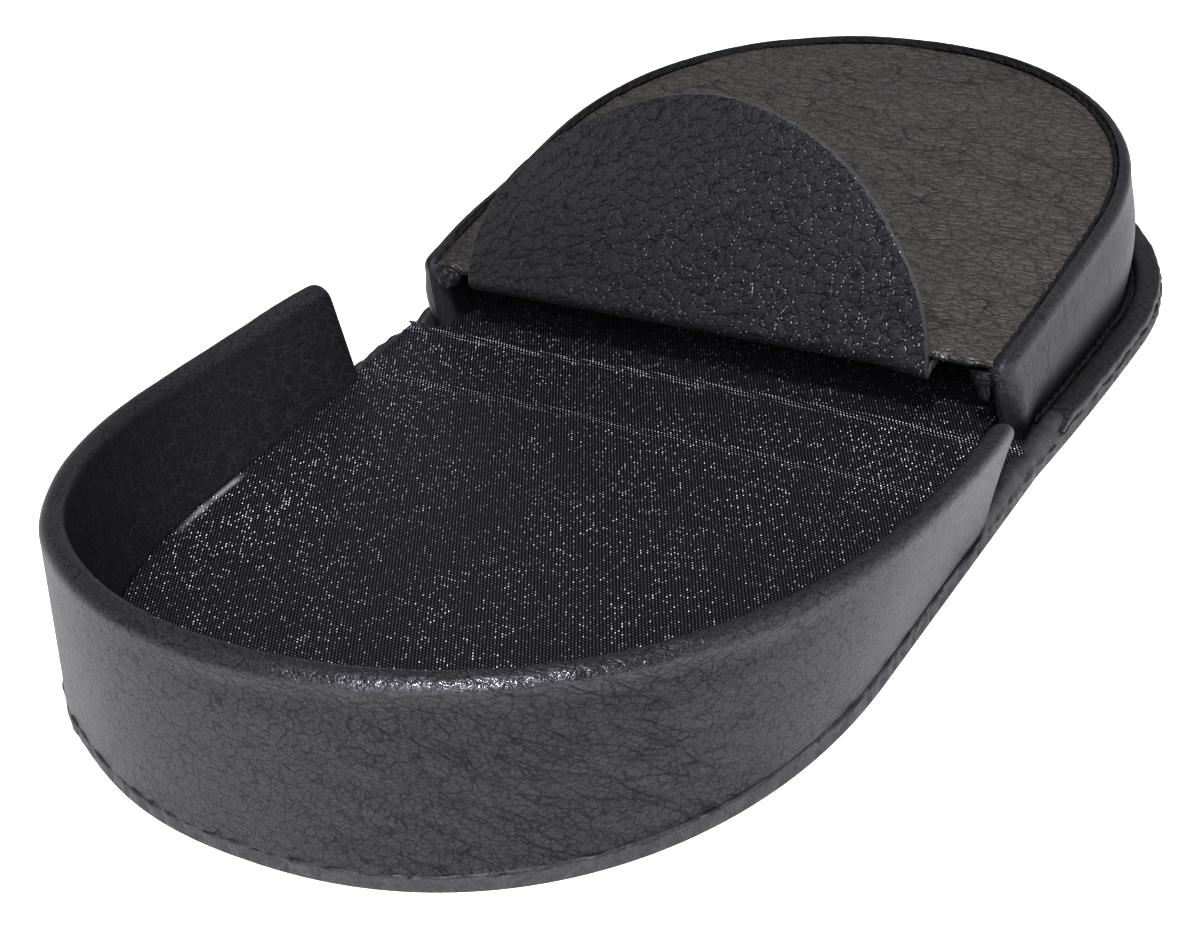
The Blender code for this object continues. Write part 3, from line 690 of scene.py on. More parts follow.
def satin_lining():
    """Filament satin, glued flat: fine ribs that slant over the purse, and thread floats whose sparkle is
    painted into the colour as light dots.

    The two waves are the ribs, 0.34 mm apart, and the floats along each rib, 0.47 mm apart.
    """
    colours = bpy.context.scene.purse_colours
    made, tree, shader = new_material("woven_satin_lining")
    place = add(tree, "ShaderNodeAttribute", output="Vector", attribute_name="place")
    numbers, beside = [], []
    for direction in ((2520.0, 1450.0, 0.0), (2370.0, -1100.0, 0.0)):
        wave = add(tree, "ShaderNodeVectorMath", {0: place, 1: direction}, "Value", operation="DOT_PRODUCT")
        number = add(tree, "ShaderNodeMath", {0: wave}, operation="ROUND")
        away = add(tree, "ShaderNodeMath", {0: wave, 1: number}, operation="SUBTRACT")
        numbers.append(number)
        beside.append(add(tree, "ShaderNodeMath", {0: away, 1: away}, operation="MULTIPLY"))
    cell = add(tree, "ShaderNodeCombineXYZ", {"X": numbers[0], "Y": numbers[1]})
    chance = add(tree, "ShaderNodeTexWhiteNoise", {"Vector": cell}, "Value", noise_dimensions="3D")
    off_centre = add(tree, "ShaderNodeMath", {0: beside[1], 1: 0.55, 2: beside[0]}, operation="MULTIPLY_ADD")
    limits = {"Value": off_centre, "From Min": 0.044, "From Max": 0.008}
    dot = add(tree, "ShaderNodeMapRange", limits, interpolation_type="SMOOTHSTEP")
    lucky = add(tree, "ShaderNodeMath", {0: chance, 1: 11.0}, operation="POWER")
    region = add(tree, "ShaderNodeTexNoise", {"Vector": place, "Scale": 75.0, "Detail": 3.0})
    limits = {"Value": region, "From Min": 0.35, "From Max": 0.7, "To Min": 0.3, "To Max": 1.2}
    calm = add(tree, "ShaderNodeMapRange", limits)
    wear_and_glint = add(tree, "ShaderNodeAttribute", output="Fac", attribute_name="wear_and_glint")
    lively = add(tree, "ShaderNodeMath", {0: wear_and_glint, 1: 3.0, 2: calm}, operation="MULTIPLY_ADD")

    # Both folds press three rows of floats up, painted lighter as their highlight, with two dark lines
    # between them where the satin reflects less
    height = add(tree, "ShaderNodeSeparateXYZ", {0: place}, "Y")
    sway = add(tree, "ShaderNodeTexNoise", {"Vector": place, "Scale": 45.0, "Detail": 1.0})
    swayed = add(tree, "ShaderNodeMath", {0: sway, 1: 0.0016, 2: height}, operation="MULTIPLY_ADD")
    pressed = []
    for fold, strength in ((BOX_FOLD, 1.0), (TRAY_FOLD, 0.45)):
        away = add(tree, "ShaderNodeMath", {0: swayed, 1: fold + 0.0008}, operation="SUBTRACT")
        turned = add(tree, "ShaderNodeMath", {0: away, 1: 2 * math.pi / 0.00052}, operation="MULTIPLY")
        rows = add(tree, "ShaderNodeMath", {0: turned}, operation="COSINE")
        distance = add(tree, "ShaderNodeMath", {0: away}, operation="ABSOLUTE")
        limits = {"Value": distance, "From Min": 0.0008, "From Max": 0.0006, "To Max": strength}
        near = add(tree, "ShaderNodeMapRange", limits)
        pressed.append(add(tree, "ShaderNodeMath", {0: rows, 1: near}, operation="MULTIPLY"))
    both = add(tree, "ShaderNodeMath", {0: pressed[0], 1: pressed[1]}, operation="ADD")
    raised = add(tree, "ShaderNodeMath", {0: both, 1: 0.0}, operation="MAXIMUM")
    sunk = add(tree, "ShaderNodeMath", {0: both, 1: 0.0}, operation="MINIMUM")

    # Every float gets a faint painted glint, the raised rows along the folds a stronger one, and random
    # floats a bright one
    shown = add(tree, "ShaderNodeMath", {0: raised, 1: 0.80, 2: 0.055}, operation="MULTIPLY_ADD")
    bright = add(tree, "ShaderNodeMath", {0: lucky, 1: lively, 2: shown}, operation="MULTIPLY_ADD")
    fleck = add(tree, "ShaderNodeMath", {0: bright, 1: dot}, operation="MULTIPLY")
    # Painted glints of the floats, and the pale line painted along the foot of the left wall, are mixed into
    # the satin's colour
    gloss_share = add(tree, "ShaderNodeAttribute", output="Fac", attribute_name="gloss")
    painted_highlight = add(tree, "ShaderNodeMath", {0: fleck, 1: gloss_share}, operation="ADD", use_clamp=True)
    threads = {"Factor": painted_highlight, "A": linear(colours.satin), "B": linear(colours.glint)}
    limits = {"Value": beside[0], "From Max": 0.25, "To Min": 0.13, "To Max": 0.05}
    rib = add(tree, "ShaderNodeMapRange", limits)
    shine = add(tree, "ShaderNodeMath", {0: sunk, 1: 0.40, 2: rib}, operation="MULTIPLY_ADD", use_clamp=True)
    relief = add(tree, "ShaderNodeMath", {0: beside[0], 1: beside[1]}, operation="ADD")
    deep = add(tree, "ShaderNodeMath", {0: relief, 1: -0.00005}, operation="MULTIPLY")
    inputs = {
        "Base Color": add(tree, "ShaderNodeMix", threads, data_type="RGBA"),
        "Specular IOR Level": shine,
        "Normal": add(tree, "ShaderNodeBump", {"Height": deep, "Distance": 1.0}),
        "Roughness": 0.45,
        "Specular Tint": linear("#E8E6FF"),
    }
    feed(tree, shader, inputs)
    return made


# Each fibrous material's dark and light fibres; scale, detail and roughness of their noise; the range of it
# that shows; depth and roughness of the surface; strength of its reflection; whether the mesh has places
FIBROUS = {
    # Knife-cut edge of thin leather: short grey fibres that scatter the light
    "knife_cut_leather_edge": ("sole", "cut", (2500.0, 4.0, 0.7), (0.35, 0.65), 0.00008, 0.6, 0.5, True),
    # Spun polyester, two plies: matt, with a faint shine on each twist
    "spun_polyester_thread": ("#050506", "thread", (6000.0, 3.0, 0.5), (0.0, 1.0), 0.00005, 0.75, 0.15, True),
    # Bonded leather board: pressed fibres, matt and speckled
    "bonded_fibre_board": ("#0C0B0A", "board", (1800.0, 4.0, 0.5), (0.0, 1.0), 0.00008, 0.85, 0.5, False),
}


def fibrous(name, dark, light, grain, shown, relief, roughness, specular, has_places):
    """Short fibres in two shades, which also roughen the surface."""
    made, tree, shader = new_material(name)
    if has_places:
        place = add(tree, "ShaderNodeAttribute", output="Vector", attribute_name="place")
    else:
        place = add(tree, "ShaderNodeTexCoord", output="Object")
    hairs = {"Vector": place, "Scale": grain[0], "Detail": grain[1], "Roughness": grain[2]}
    fibre = add(tree, "ShaderNodeTexNoise", hairs)
    spread = add(tree, "ShaderNodeMapRange", {"Value": fibre, "From Min": shown[0], "From Max": shown[1]})
    shades = {"Factor": spread, "A": linear(dark), "B": linear(light)}
    inputs = {
        "Base Color": add(tree, "ShaderNodeMix", shades, data_type="RGBA"),
        "Normal": add(tree, "ShaderNodeBump", {"Height": fibre, "Distance": relief}),
        "Roughness": roughness,
        "Specular IOR Level": specular,
    }
    feed(tree, shader, inputs)
    return made


# Colour and pitch of the threads. The satin inside the box is only seen as a shade.
WOVEN = {"cotton_webbing": ("webbing", 0.0006), "woven_satin_inside_box": ("satin", 0.0004)}


def woven(name, code, pitch):
    """Plain weave in real thread spacing: small square bumps."""
    made, tree, shader = new_material(name)
    place = add(tree, "ShaderNodeTexCoord", output="Object")
    squares = {"Vector": place, "Scale": 1 / pitch, "Color1": linear(code), "Color2": linear("#08080A")}
    checks = add(tree, "ShaderNodeTexChecker", squares)
    bump = add(tree, "ShaderNodeBump", {"Height": checks.outputs["Fac"], "Distance": 0.00005})
    feed(tree, shader, {"Base Color": checks.outputs["Color"], "Normal": bump, "Roughness": 0.6})
    return made


def material(name):
    """The material with this name, made the first time that it is asked for."""
    if name in bpy.data.materials:
        return bpy.data.materials[name]
    if name == "woven_satin_lining":
        return satin_lining()
    colours = bpy.context.scene.purse_colours

    def code(key):
        """The colour of this name among the purse's colours, or else a hex colour as it is."""
        return getattr(colours, key, key)

    if name in LEATHERS:
        main, nets, grain, more = LEATHERS[name]
        more = {key: code(value) if isinstance(value, str) else value for key, value in more.items()}
        return leather(name, code(main), nets, *grain, **more)
    if name in FIBROUS:
        dark, light, *numbers = FIBROUS[name]
        return fibrous(name, code(dark), code(light), *numbers)
    main, pitch = WOVEN[name]
    return woven(name, code(main), pitch)


def sole_plan(side, offset, start):
    """Plan of the bottom leather under the box (side 1) or the tray (side -1), drawn in by offset."""
    base = bpy.context.scene.purse_base
    if side > 0:
        half, reach, run, roundness = base.sole_half, base.sole_reach, base.box_run, base.sole_roundness
    else:
        half, reach, run, roundness = base.tray_half, base.tray_reach, base.tray_run, base.tray_roundness
    taper = half - base.spine_half
    return lambda shares: horseshoe(half - offset, reach - offset, run, start, roundness, shares, taper)


def wall_foot_plan(offset, start):
    """Plan of the foot of the tray's wall, drawn in by offset."""
    base, tray = bpy.context.scene.purse_base, bpy.context.scene.purse_tray
    half, reach, run, roundness = tray.foot_half, tray.foot_reach, base.tray_run, base.tray_roundness
    return lambda shares: horseshoe(
        half - offset, reach - offset, run, start, roundness, shares, tray.foot_taper, tray.start
    )


def wall_rim_plan():
    """Plan of the rim of the tray's wall."""
    tray = bpy.context.scene.purse_tray
    half, reach, run, roundness = tray.rim_half, tray.rim_reach, tray.rim_run, tray.rim_roundness
    return lambda shares: horseshoe(
        half, reach, run, tray.start, roundness, shares, tray.rim_taper, tray.start
    )


def left_flare(x, d):
    """How far the box stands out to the left at its mouth."""
    flare = bpy.context.scene.purse_box.left_flare
    return flare * (1 - smooth_step(d, 0.010, 0.024)) * smooth_step(-x, 0.010, 0.030)


def band_plan(offset, start):
    """Plan of the box's band, drawn in by offset."""
    base, box = bpy.context.scene.purse_base, bpy.context.scene.purse_box
    half, reach, run, roundness = box.band_half, box.band_reach, base.box_run, box.band_roundness

    def plan(shares):
        points = horseshoe(
            half - offset, reach - offset, run, start, roundness, shares, box.band_taper, box.band_start
        )
        points[:, 0] -= left_flare(points[:, 0], points[:, 1])
        return points

    return plan


def front_kick(x, y):
    """How far the tray's foot stands out at each point, x and y, at the left of its front."""
    away = np.hypot(x + 0.0306, y - TRAY_FOLD + 0.0614)
    kick = bpy.context.scene.purse_tray.front_kick * np.exp(-((away / 0.0078) ** 2))
    return np.stack((-0.62 * kick, -0.78 * kick), axis=-1)


def band_top(d):
    """Height of the band's upper edge at a distance from the box's fold."""
    base, box = bpy.context.scene.purse_base, bpy.context.scene.purse_box
    along = (d - box.band_start) / (box.band_reach - box.band_start)
    return base.lining_top + box.height_front + (box.height_rear - box.height_front) * along


def hand_trimmed(points, wander):
    """How far a cut edge wanders in or out at each point."""
    return wander * (noise_field(points, 0.0045) + 0.5 * noise_field(points, 0.0016, seed=4.0))


def leather_base(name, side):
    """Bottom leather from the middle of the spine to the end of the box (side 1) or the tray (side -1)."""
    base = bpy.context.scene.purse_base
    radius = 0.0003
    across = 90
    fold = BOX_FOLD if side > 0 else TRAY_FOLD
    reach_in = abs(fold - SPINE_MIDDLE)
    half, along = outline_rows(sole_plan(side, radius, 0), rows=210)
    half, along = with_spine(np.linspace(-reach_in, 0, 17)[:-1], base.spine_half - radius, half, along)
    flat, faces, slots = slab(half, along, across, base.thickness, radius, joint=-reach_in, crowded=0.9)
    u, v = np.abs(flat[:, 0]), flat[:, 1]
    points = np.column_stack((flat[:, 0], fold + side * v, base.thickness - flat[:, 2]))
    piece = make_piece(name, points, faces, points, slots)
    # The cut edge wanders and breaks up into blocks, but not where it meets its other half or the table
    at_edge = edge_of_slab(points, len(half), across)
    outward = at_edge * hand_trimmed(points, base.trim) * smooth_step(u, 0.0, 0.001)
    cells = pebbles(points, (0.0034, 0.0034, 0.006), furrow=0.18, seed=2.0)
    depths = outward - at_edge * (1 - cells) * 0.00035
    depths[np.abs(v + reach_in) < 0.0004] = 0
    depths[points[:, 2] < 0.0001] = 0
    push(piece, depths)
    # Beside the spine the leather swells up to the lining, and round the tray it swells under the wall
    moved = points_of(piece)
    y = moved[:, 1]
    upper = smooth_step(moved[:, 2], 0, base.thickness)
    lip_start = BOX_FOLD + bpy.context.scene.purse_box.lip_front
    near_end = np.minimum((lip_start + 0.0040 - y) / 3, y - TRAY_FOLD + 0.0040)
    roof = np.sin(np.clip((base.spine_half - u) / base.hem, 0, 1) * math.pi / 2)
    roof = roof * smooth_step(u, base.spine_half - 0.0030, base.spine_half - 0.0020)
    # The closed tray's left end has pressed it down
    pressed = 0.6 * np.exp(-(((y - BOX_FOLD - 0.0010) / 0.0020) ** 2)) * (flat[:, 0] < 0)
    lift = base.swell * smooth_step(near_end, 0.0, 0.0012) * roof * (1 - pressed)
    rough = noise_field(points, 0.0016, seed=17.0)
    moved[:, 2] += lift * (1 + 0.20 * rough) * upper
    if side < 0:
        to_edge = np.minimum(np.interp(v, along, half) - u, along[-1] - v)
        swell = (1 - smooth_step(to_edge, 0.0004, 0.0030)) * smooth_step(v, 0.002, 0.012)
        moved[:, 2] += base.front_edge * swell * upper
        moved[:, :2] += front_kick(moved[:, 0], moved[:, 1])
    move_to(piece, moved)
    # Beside the spine the cut shows bare fibres
    bare = np.minimum(lip_start + 0.003 - moved[:, 1], moved[:, 1] - TRAY_FOLD + 0.004)
    note(piece, "furrow", at_edge * 0.9 * smooth_step(bare, 0.0, 0.003))
    note(piece, "gloss", 0.6 * np.clip(rough, 0, 1) * lift / base.swell * (flat[:, 0] < 0))
    paint(piece, material("side_leather"), material("dyed_leather_edge"))
    return piece


class PURSE_OT_bottom_leather(Operator):
    """Bottom leather under the box, the spine and the tray"""

    bl_idname = "coin_purse.bottom_leather"
    bl_label = "Bottom leather"

    def execute(self, context):
        rear = leather_base("bottom_leather_box", 1)
        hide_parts("box_sole")
        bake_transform(rear)
        front = leather_base("bottom_leather_tray", -1)
        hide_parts("spine_leather", "tray_sole")
        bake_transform(front)
        return {"FINISHED"}


def lining_sheet(name, side, plan, start, rows, spine_rows, across):
    """Satin from the middle of the spine to the far end of a floor, with ridges along the fold."""
    base = bpy.context.scene.purse_base
    radius = 0.0001
    fold = BOX_FOLD if side > 0 else TRAY_FOLD
    reach_in = abs(fold - SPINE_MIDDLE)
    half, along = outline_rows(plan, rows)
    before = np.linspace(-reach_in, start - ROW_STEP, spine_rows)
    half, along = with_spine(before, base.spine_half - base.hem, half, along)
    flat, faces, slots = slab(half - radius, along, across, base.lining, radius, joint=-reach_in)
    points = np.column_stack((flat[:, 0], fold + side * flat[:, 1], base.lining_top - flat[:, 2]))
    if side > 0:
        inside = flat[:, 1] >= bpy.context.scene.purse_box.band_start - 0.0001
        points[:, 0] -= left_flare(flat[:, 0], flat[:, 1]) * inside
    piece = make_piece(name, points, faces, points, slots)

    # Three ridges along the fold, which wander and are stronger in places
    upper = flat[:, 2] < base.lining / 2
    v = flat[:, 1] + 0.0003 * noise_field(points, (0.02, 0.4, 0.4), seed=6.0)
    ridge_gap, ridge_width = 0.0008, 0.00032
    rise = sum(np.exp(-(((v - turn * ridge_gap) / ridge_width) ** 2)) for turn in (-1, 0, 1))
    strength = (1.0 if side > 0 else 0.45) * (0.75 + 0.5 * noise_field(points, 0.011, seed=9.0))
    waves = 0.00006 * noise_field(points, (0.012, 0.016, 0.02), seed=13.0)
    points[:, 2] += np.where(upper, base.crease_rise * strength * rise * 0.8 + waves, 0)
    move_to(piece, points)

    # More painted glints in the weave at the foot of the left wall and beside the right one
    glint_patches = np.exp(-(((points[:, 0] + 0.030) / 0.006) ** 2) - ((points[:, 1] + 0.037) / 0.016) ** 2)
    glint_patches += np.exp(-(((points[:, 0] - 0.031) / 0.006) ** 2) - ((points[:, 1] - 0.001) / 0.008) ** 2)
    note(piece, "wear_and_glint", 0.5 * glint_patches)
    # A pale line painted along the foot of the tray's left wall: a painted highlight
    from_line = np.abs(flat[:, 0]) - np.interp(flat[:, 1], along, half) + 0.0006
    foot = np.clip(1 - np.abs(from_line) / 0.0005, 0, 1)
    painted_highlight = foot * upper * (flat[:, 0] < 0) * (side < 0) * smooth_step(flat[:, 1], 0.024, 0.027)
    ragged = np.clip(0.75 + 0.6 * noise_field(flat, 0.0016, seed=4.0), 0.2, 1.0)
    note(piece, "gloss", 0.26 * ragged * painted_highlight * (1 - smooth_step(flat[:, 1], 0.033, 0.038)))
    paint(piece, material("woven_satin_lining"))
    return piece


class PURSE_OT_lining(Operator):
    """Satin on the floors and the spine"""

    bl_idname = "coin_purse.lining"
    bl_label = "Lining"

    def execute(self, context):
        base, box, tray = context.scene.purse_base, context.scene.purse_box, context.scene.purse_tray
        start = box.band_start - ROW_STEP
        plan = band_plan(box.band_total + GLUE_GAP, start)
        rear = lining_sheet("satin_lining_box", 1, plan, start, rows=170, spine_rows=30, across=120)
        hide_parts("box_floor_lining")
        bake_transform(rear)

        start = tray.start - ROW_STEP
        plan = wall_foot_plan(tray.thickness + GLUE_GAP, start)
        front = lining_sheet("satin_lining_tray", -1, plan, start, rows=190, spine_rows=28, across=130)
        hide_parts("spine_lining", "tray_floor_lining")
        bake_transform(front)
        return {"FINISHED"}


def end_insets(lengths, radius, corner):
    """How far a wall's ends round off at each station: share of its half thickness, and drop of its top."""
    from_end = np.minimum(lengths, lengths[-1] - lengths)
    near = np.clip(1 - from_end / radius, 0, 0.985)
    top = np.clip(1 - from_end / corner, 0, 1)
    return 1 - np.sqrt(1 - near**2), corner * (1 - np.sqrt(1 - top**2))


def stations_along(plan, middle, radius):
    """Shares of a plan for stations at equal steps, with a closer row round each end."""
    dense = np.linspace(0, 1, 6001)
    lengths = arc_lengths(plan(dense))
    ends = radius * (1 - np.cos(np.linspace(0, math.pi / 2, 9)))[:-1]
    inside = np.linspace(radius, lengths[-1] - radius, middle)
    wanted = np.concatenate((ends, inside, lengths[-1] - ends[::-1]))
    return np.interp(wanted, lengths, dense), wanted


# Steps of the tray wall's section: up its outer face, over each half of its rim, down its inner face
OUTER_STEPS, RIM_STEPS, INNER_STEPS = 40, 9, 30
# Angle at which the folds climb across the tray's outer wall
FOLD_SLANT = math.radians(30)
# How far the right end of the tray's rim leans towards the spine
RIGHT_ADVANCE = 0.0007
# The same of the band's outer face and its upper edge
BAND_STEPS, BAND_EDGE_STEPS = 30, 9
# Length of each end of the band over which it leans
LEAN_RUN = 0.008
# How much further in than the band's layers the thick fold at its ends reaches
END_BULK = 0.0002


def wall_section(lengths, height, bottom, front, patch_share):
    """Section of the tray's wall: up outside, round the rim, down inside, and back round the board's room.

    Each row has a distance from the outer face, a height, and its share of the outer leather's folds.
    """
    tray = bpy.context.scene.purse_tray
    radius = tray.thickness / 2
    stand = tray.bead * (0.1 + 0.9 * patch_share)
    bead = radius + stand
    straight = height - bead - bottom
    quarter = np.linspace(0, math.pi / 2, RIM_STEPS)[1:]
    section = []
    for t in np.linspace(0, 1, OUTER_STEPS):
        z = bottom + straight * t
        below = height - bead - z
        bulge = stand * np.exp(-((below / 0.0011) ** 2))
        drawn_in = tray.groove * patch_share * np.exp(-(((below - 0.0018) / 0.0012) ** 2))
        section.append((drawn_in - bulge, z, 1.0))
    for turn in quarter:
        section.append((radius - bead * math.cos(turn), height - bead + bead * math.sin(turn), 0.5))
    squareness = 2 / (2 + front)
    for turn in quarter:
        out = radius + (radius + stand * 0.3) * math.sin(turn) ** squareness
        section.append((out, height - bead + bead * math.cos(turn) ** squareness, 0.2))
    for t in np.linspace(1, 0, INNER_STEPS)[1:]:
        section.append((tray.thickness, bottom + straight * t, 0.0))
    has_core = np.minimum(lengths, lengths[-1] - lengths) > 0.0012
    room = (height - radius * 1.05 - bottom) * has_core
    far, near = tray.thickness - tray.leather, tray.leather
    for offset, up in ((far, 0.0), (far, 0.5), (far, 1.0), (near, 1.0), (near, 0.5), (near, 0.0)):
        section.append((offset, bottom + room * up, -1.0))
    return section


def band_section(height, bottom, inner):
    """Section of the band: up outside, round the upper edge and down inside, which lies at inner.

    Each row has a distance from the outer face and a height.
    """
    box = bpy.context.scene.purse_box
    section = []
    for t in np.linspace(0, 1, BAND_STEPS):
        bulge = box.bulge * math.sin(math.pi * t) ** 1.5
        section.append((-bulge, bottom + (height - box.roll - bottom) * t))
    for turn in np.linspace(0, math.pi / 2, BAND_EDGE_STEPS)[1:]:
        section.append((box.roll * (1 - math.cos(turn)), height - box.roll + box.roll * math.sin(turn)))
    below_edge = height - 0.0002
    for t in (0.06, 0.2, 0.5, 0.8, 1.0):
        z = below_edge - (below_edge - bottom) * t
        section.append((inner, np.minimum(z, height - 0.00005)))
    return section


class PURSE_OT_tray_wall(Operator):
    """Wall leather, up the outside of the tray, round the rolled rim and down the inside"""

    bl_idname = "coin_purse.tray_wall"
    bl_label = "Tray wall"

    def execute(self, context):
        base, tray = context.scene.purse_base, context.scene.purse_tray
        radius = tray.thickness / 2
        shares, lengths = stations_along(wall_rim_plan(), tray.stations, radius)
        foot, rim = wall_foot_plan(0, tray.start)(shares), wall_rim_plan()(shares)
        foot_in, rim_in = inward_normals(foot), inward_normals(rim)
        narrowing, drop = end_insets(lengths, radius, tray.corner)
        whole = lengths[-1]
        along = (rim[:, 1] - tray.start) / (tray.rim_reach - tray.start)
        # How much each station belongs to the front, to the part that hands have worn, to the left end, to
        # the dip behind it and to the right end
        front = smooth_step(along, 0.55, 1.0)
        patch_share = smooth_step(0.20 - np.abs(lengths / whole - HELD_SHARE), 0.0, 0.10)
        left = smooth_step(lengths, whole - 0.015, whole - 0.001)
        left_end = smooth_step(lengths, whole - 0.012, whole)
        dip = np.exp(-(((whole - lengths - 0.028) / 0.016) ** 2))
        right = 1 - smooth_step(lengths, 0, 0.022)
        line = on_line(lengths)
        height = base.lining_top + tray.height_ends + (tray.height_front - tray.height_ends) * along
        height += front * tray.front_lift + left * tray.left_lift - dip * tray.left_dip - drop
        height += 0.00014 * noise_field(line, 0.014) + 0.00005 * noise_field(line, 0.004, seed=3.0) - 0.00008
        bottom = base.thickness + (base.front_edge - GLUE_GAP) * smooth_step(rim[:, 1], 0.002, 0.012)

        section = wall_section(lengths, height, bottom, front, patch_share)
        loops = np.zeros((len(lengths), len(section), 3))
        for k, (offset, z, outside) in enumerate(section):
            offset = radius + (offset - radius) * (1 - narrowing)
            rise = ((z - bottom) / (height - bottom))[:, None]
            plan = foot + foot_in * offset[:, None]
            plan = plan + (rim + rim_in * offset[:, None] - plan) * rise
            plan[:, 0] += tray.right_splay * right * rise[:, 0] ** 2
            plan[:, 1] -= RIGHT_ADVANCE * right**2 * rise[:, 0] ** 2 + tray.left_advance * left_end
            plan[:, 0] += tray.left_draw * left_end
            flat = np.column_stack((plan[:, 0], TRAY_FOLD - plan[:, 1]))
            flat += front_kick(flat[:, 0], flat[:, 1]) * (1 - 0.75 * rise)
            loops[:, k] = np.column_stack((flat, z))
        points, faces = loft(loops)
        places = unrolled(loops, lengths)
        piece = make_piece("tray_wall_leather_skin", points, faces, places)

        # Folds climb from lower right to upper left across the outer wall, deepest at the front
        outer = np.tile([outside for offset, z, outside in section], len(lengths))
        outside = np.clip(outer, 0, 1)
        cosine, sine = math.cos(FOLD_SLANT), math.sin(FOLD_SLANT)
        s, p = places[:, 0], places[:, 1]
        slanted = np.column_stack((s * cosine + p * sine, p * cosine - s * sine, np.zeros(len(s))))
        middle = np.abs(s / whole - HELD_SHARE)
        wear_and_glint = smooth_step(0.35 * noise_field(places, 0.020, seed=21.0) + 1.0 - middle * 5.0, 0.1, 0.9)
        folds = creases(slanted, (0.0090, 0.0022, 1.0), width=0.30, seed=2.0) * wear_and_glint
        swell = noise_field(slanted, (0.010, 0.0030, 1.0), seed=7.0)
        row = np.tile(np.arange(len(section)), len(lengths))
        on_roll = ((row >= OUTER_STEPS - 3) & (row < OUTER_STEPS + RIM_STEPS - 1)).astype(float)
        pleats = noise_field(places, (0.0007, 0.0009, 1.0), seed=31.0)
        pleats += noise_field(places, (0.0013, 0.0020, 1.0), seed=33.0)
        crest = np.exp(-(((row - OUTER_STEPS - 3) / 4.0) ** 2))
        depths = outside * (-tray.fold_depth * folds + 0.00026 * swell * wear_and_glint) + on_roll * 0.000012 * pleats
        depths[np.abs(points[:, 2] - np.repeat(bottom, len(section))) < 0.0001] *= 0.2
        push(piece, depths)
        # The folds are also painted darker: painted shade in their hollows
        note(piece, "furrow", outside * (1 - on_roll) * 0.15 * folds)
        note(piece, "wear_and_glint", np.clip(wear_and_glint + 0.08, 0, 1) * outside)
        note(piece, "gloss", crest * smooth_step(0.150 - middle, 0.0, 0.12))
        # Inside the tray the wall takes the darker nappa, whose colour is painted shade
        paint(piece, material("nappa_leather"), material("nappa_leather_inner_painted_shade"))
        inside = outer < 0.2
        slots = [1 if inside[face[0]] and inside[face[2]] else 0 for face in faces]
        piece.data.polygons.foreach_set("material_index", slots)
        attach(piece, "tray")
        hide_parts("tray_wall_leather")
        return {"FINISHED"}


class PURSE_OT_lip(Operator):
    """Upper leather of the lip that stands out round the foot of the box"""

    bl_idname = "coin_purse.lip"
    bl_label = "Lip"

    def execute(self, context):
        base, box = context.scene.purse_base, context.scene.purse_box
        outer_plan = sole_plan(1, box.lip_setback, box.lip_front)
        shares, lengths = stations_along(outer_plan, middle=300, radius=0.0006)
        outer, inner = outer_plan(shares), band_plan(-box.lip_groove, box.lip_front)(shares)
        trim = hand_trimmed(on_line(lengths), base.trim)
        bottom = base.thickness + GLUE_GAP
        thick = box.lip_leather
        # Share of the way from the outer edge to the groove, and height as a share of the thickness
        section_shares = [
            (0.00, 0.0), (-0.01, 0.35), (0.00, 0.7), (0.03, 0.88), (0.08, 0.98), (0.18, 1.04), (0.32, 1.08),
            (0.5, 1.1), (0.65, 1.07), (0.78, 1.0), (0.88, 0.85), (0.95, 0.62), (0.99, 0.35), (1.0, 0.0),
        ]
        loops = np.zeros((len(lengths), len(section_shares), 3))
        for k, (inward, up) in enumerate(section_shares):
            plan = outer + (inner - outer) * inward
            plan = plan - inward_normals(outer) * (trim * (1 - inward))[:, None]
            z = bottom + thick * up
            loops[:, k] = np.column_stack((plan[:, 0], BOX_FOLD + plan[:, 1], np.full(len(lengths), z)))
        points, faces = loft(loops)
        piece = make_piece("lip_upper_leather", points, faces, points, sharp=70)
        cells = noise_field(points, (0.0030, 0.0030, 0.01), seed=3.0)
        upper = smooth_step(points[:, 2], bottom + thick * 0.5, bottom + thick)
        # Both ends are flattened and torn, the right one more
        from_end = np.repeat(np.minimum(lengths, lengths[-1] - lengths), len(section_shares))
        ends = 1 - smooth_step(from_end + 0.0012 * noise_field(points, 0.0022, seed=19.0), 0, 0.0045)
        push(piece, upper * 0.00007 * cells)
        torn = noise_field(points, 0.0016, seed=15.0)
        moved = points_of(piece)
        moved[:, 1] += ends**2 * torn * np.where(points[:, 0] > 0, 0.0022, 0.0005)
        moved[:, 2] = bottom + (moved[:, 2] - bottom) * (1 - 0.45 * ends**1.5)
        move_to(piece, moved)
        # The lip is painted darker in the hollows of its surface, as painted shade, and towards the groove
        # beside the band
        from_groove = np.tile([1 - inward for inward, up in section_shares], len(lengths))
        broken_up = 0.07 * noise_field(points, 0.0010, seed=27.0)
        in_groove = 1 - smooth_step(from_groove + broken_up, 0.04, 0.22)
        note(piece, "furrow", np.clip(np.clip(-cells, 0, 1) * 0.2 + in_groove, 0, 1))
        paint(piece, material("nappa_leather"))
        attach(piece, "box")
        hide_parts("box_lip_leather")
        return {"FINISHED"}


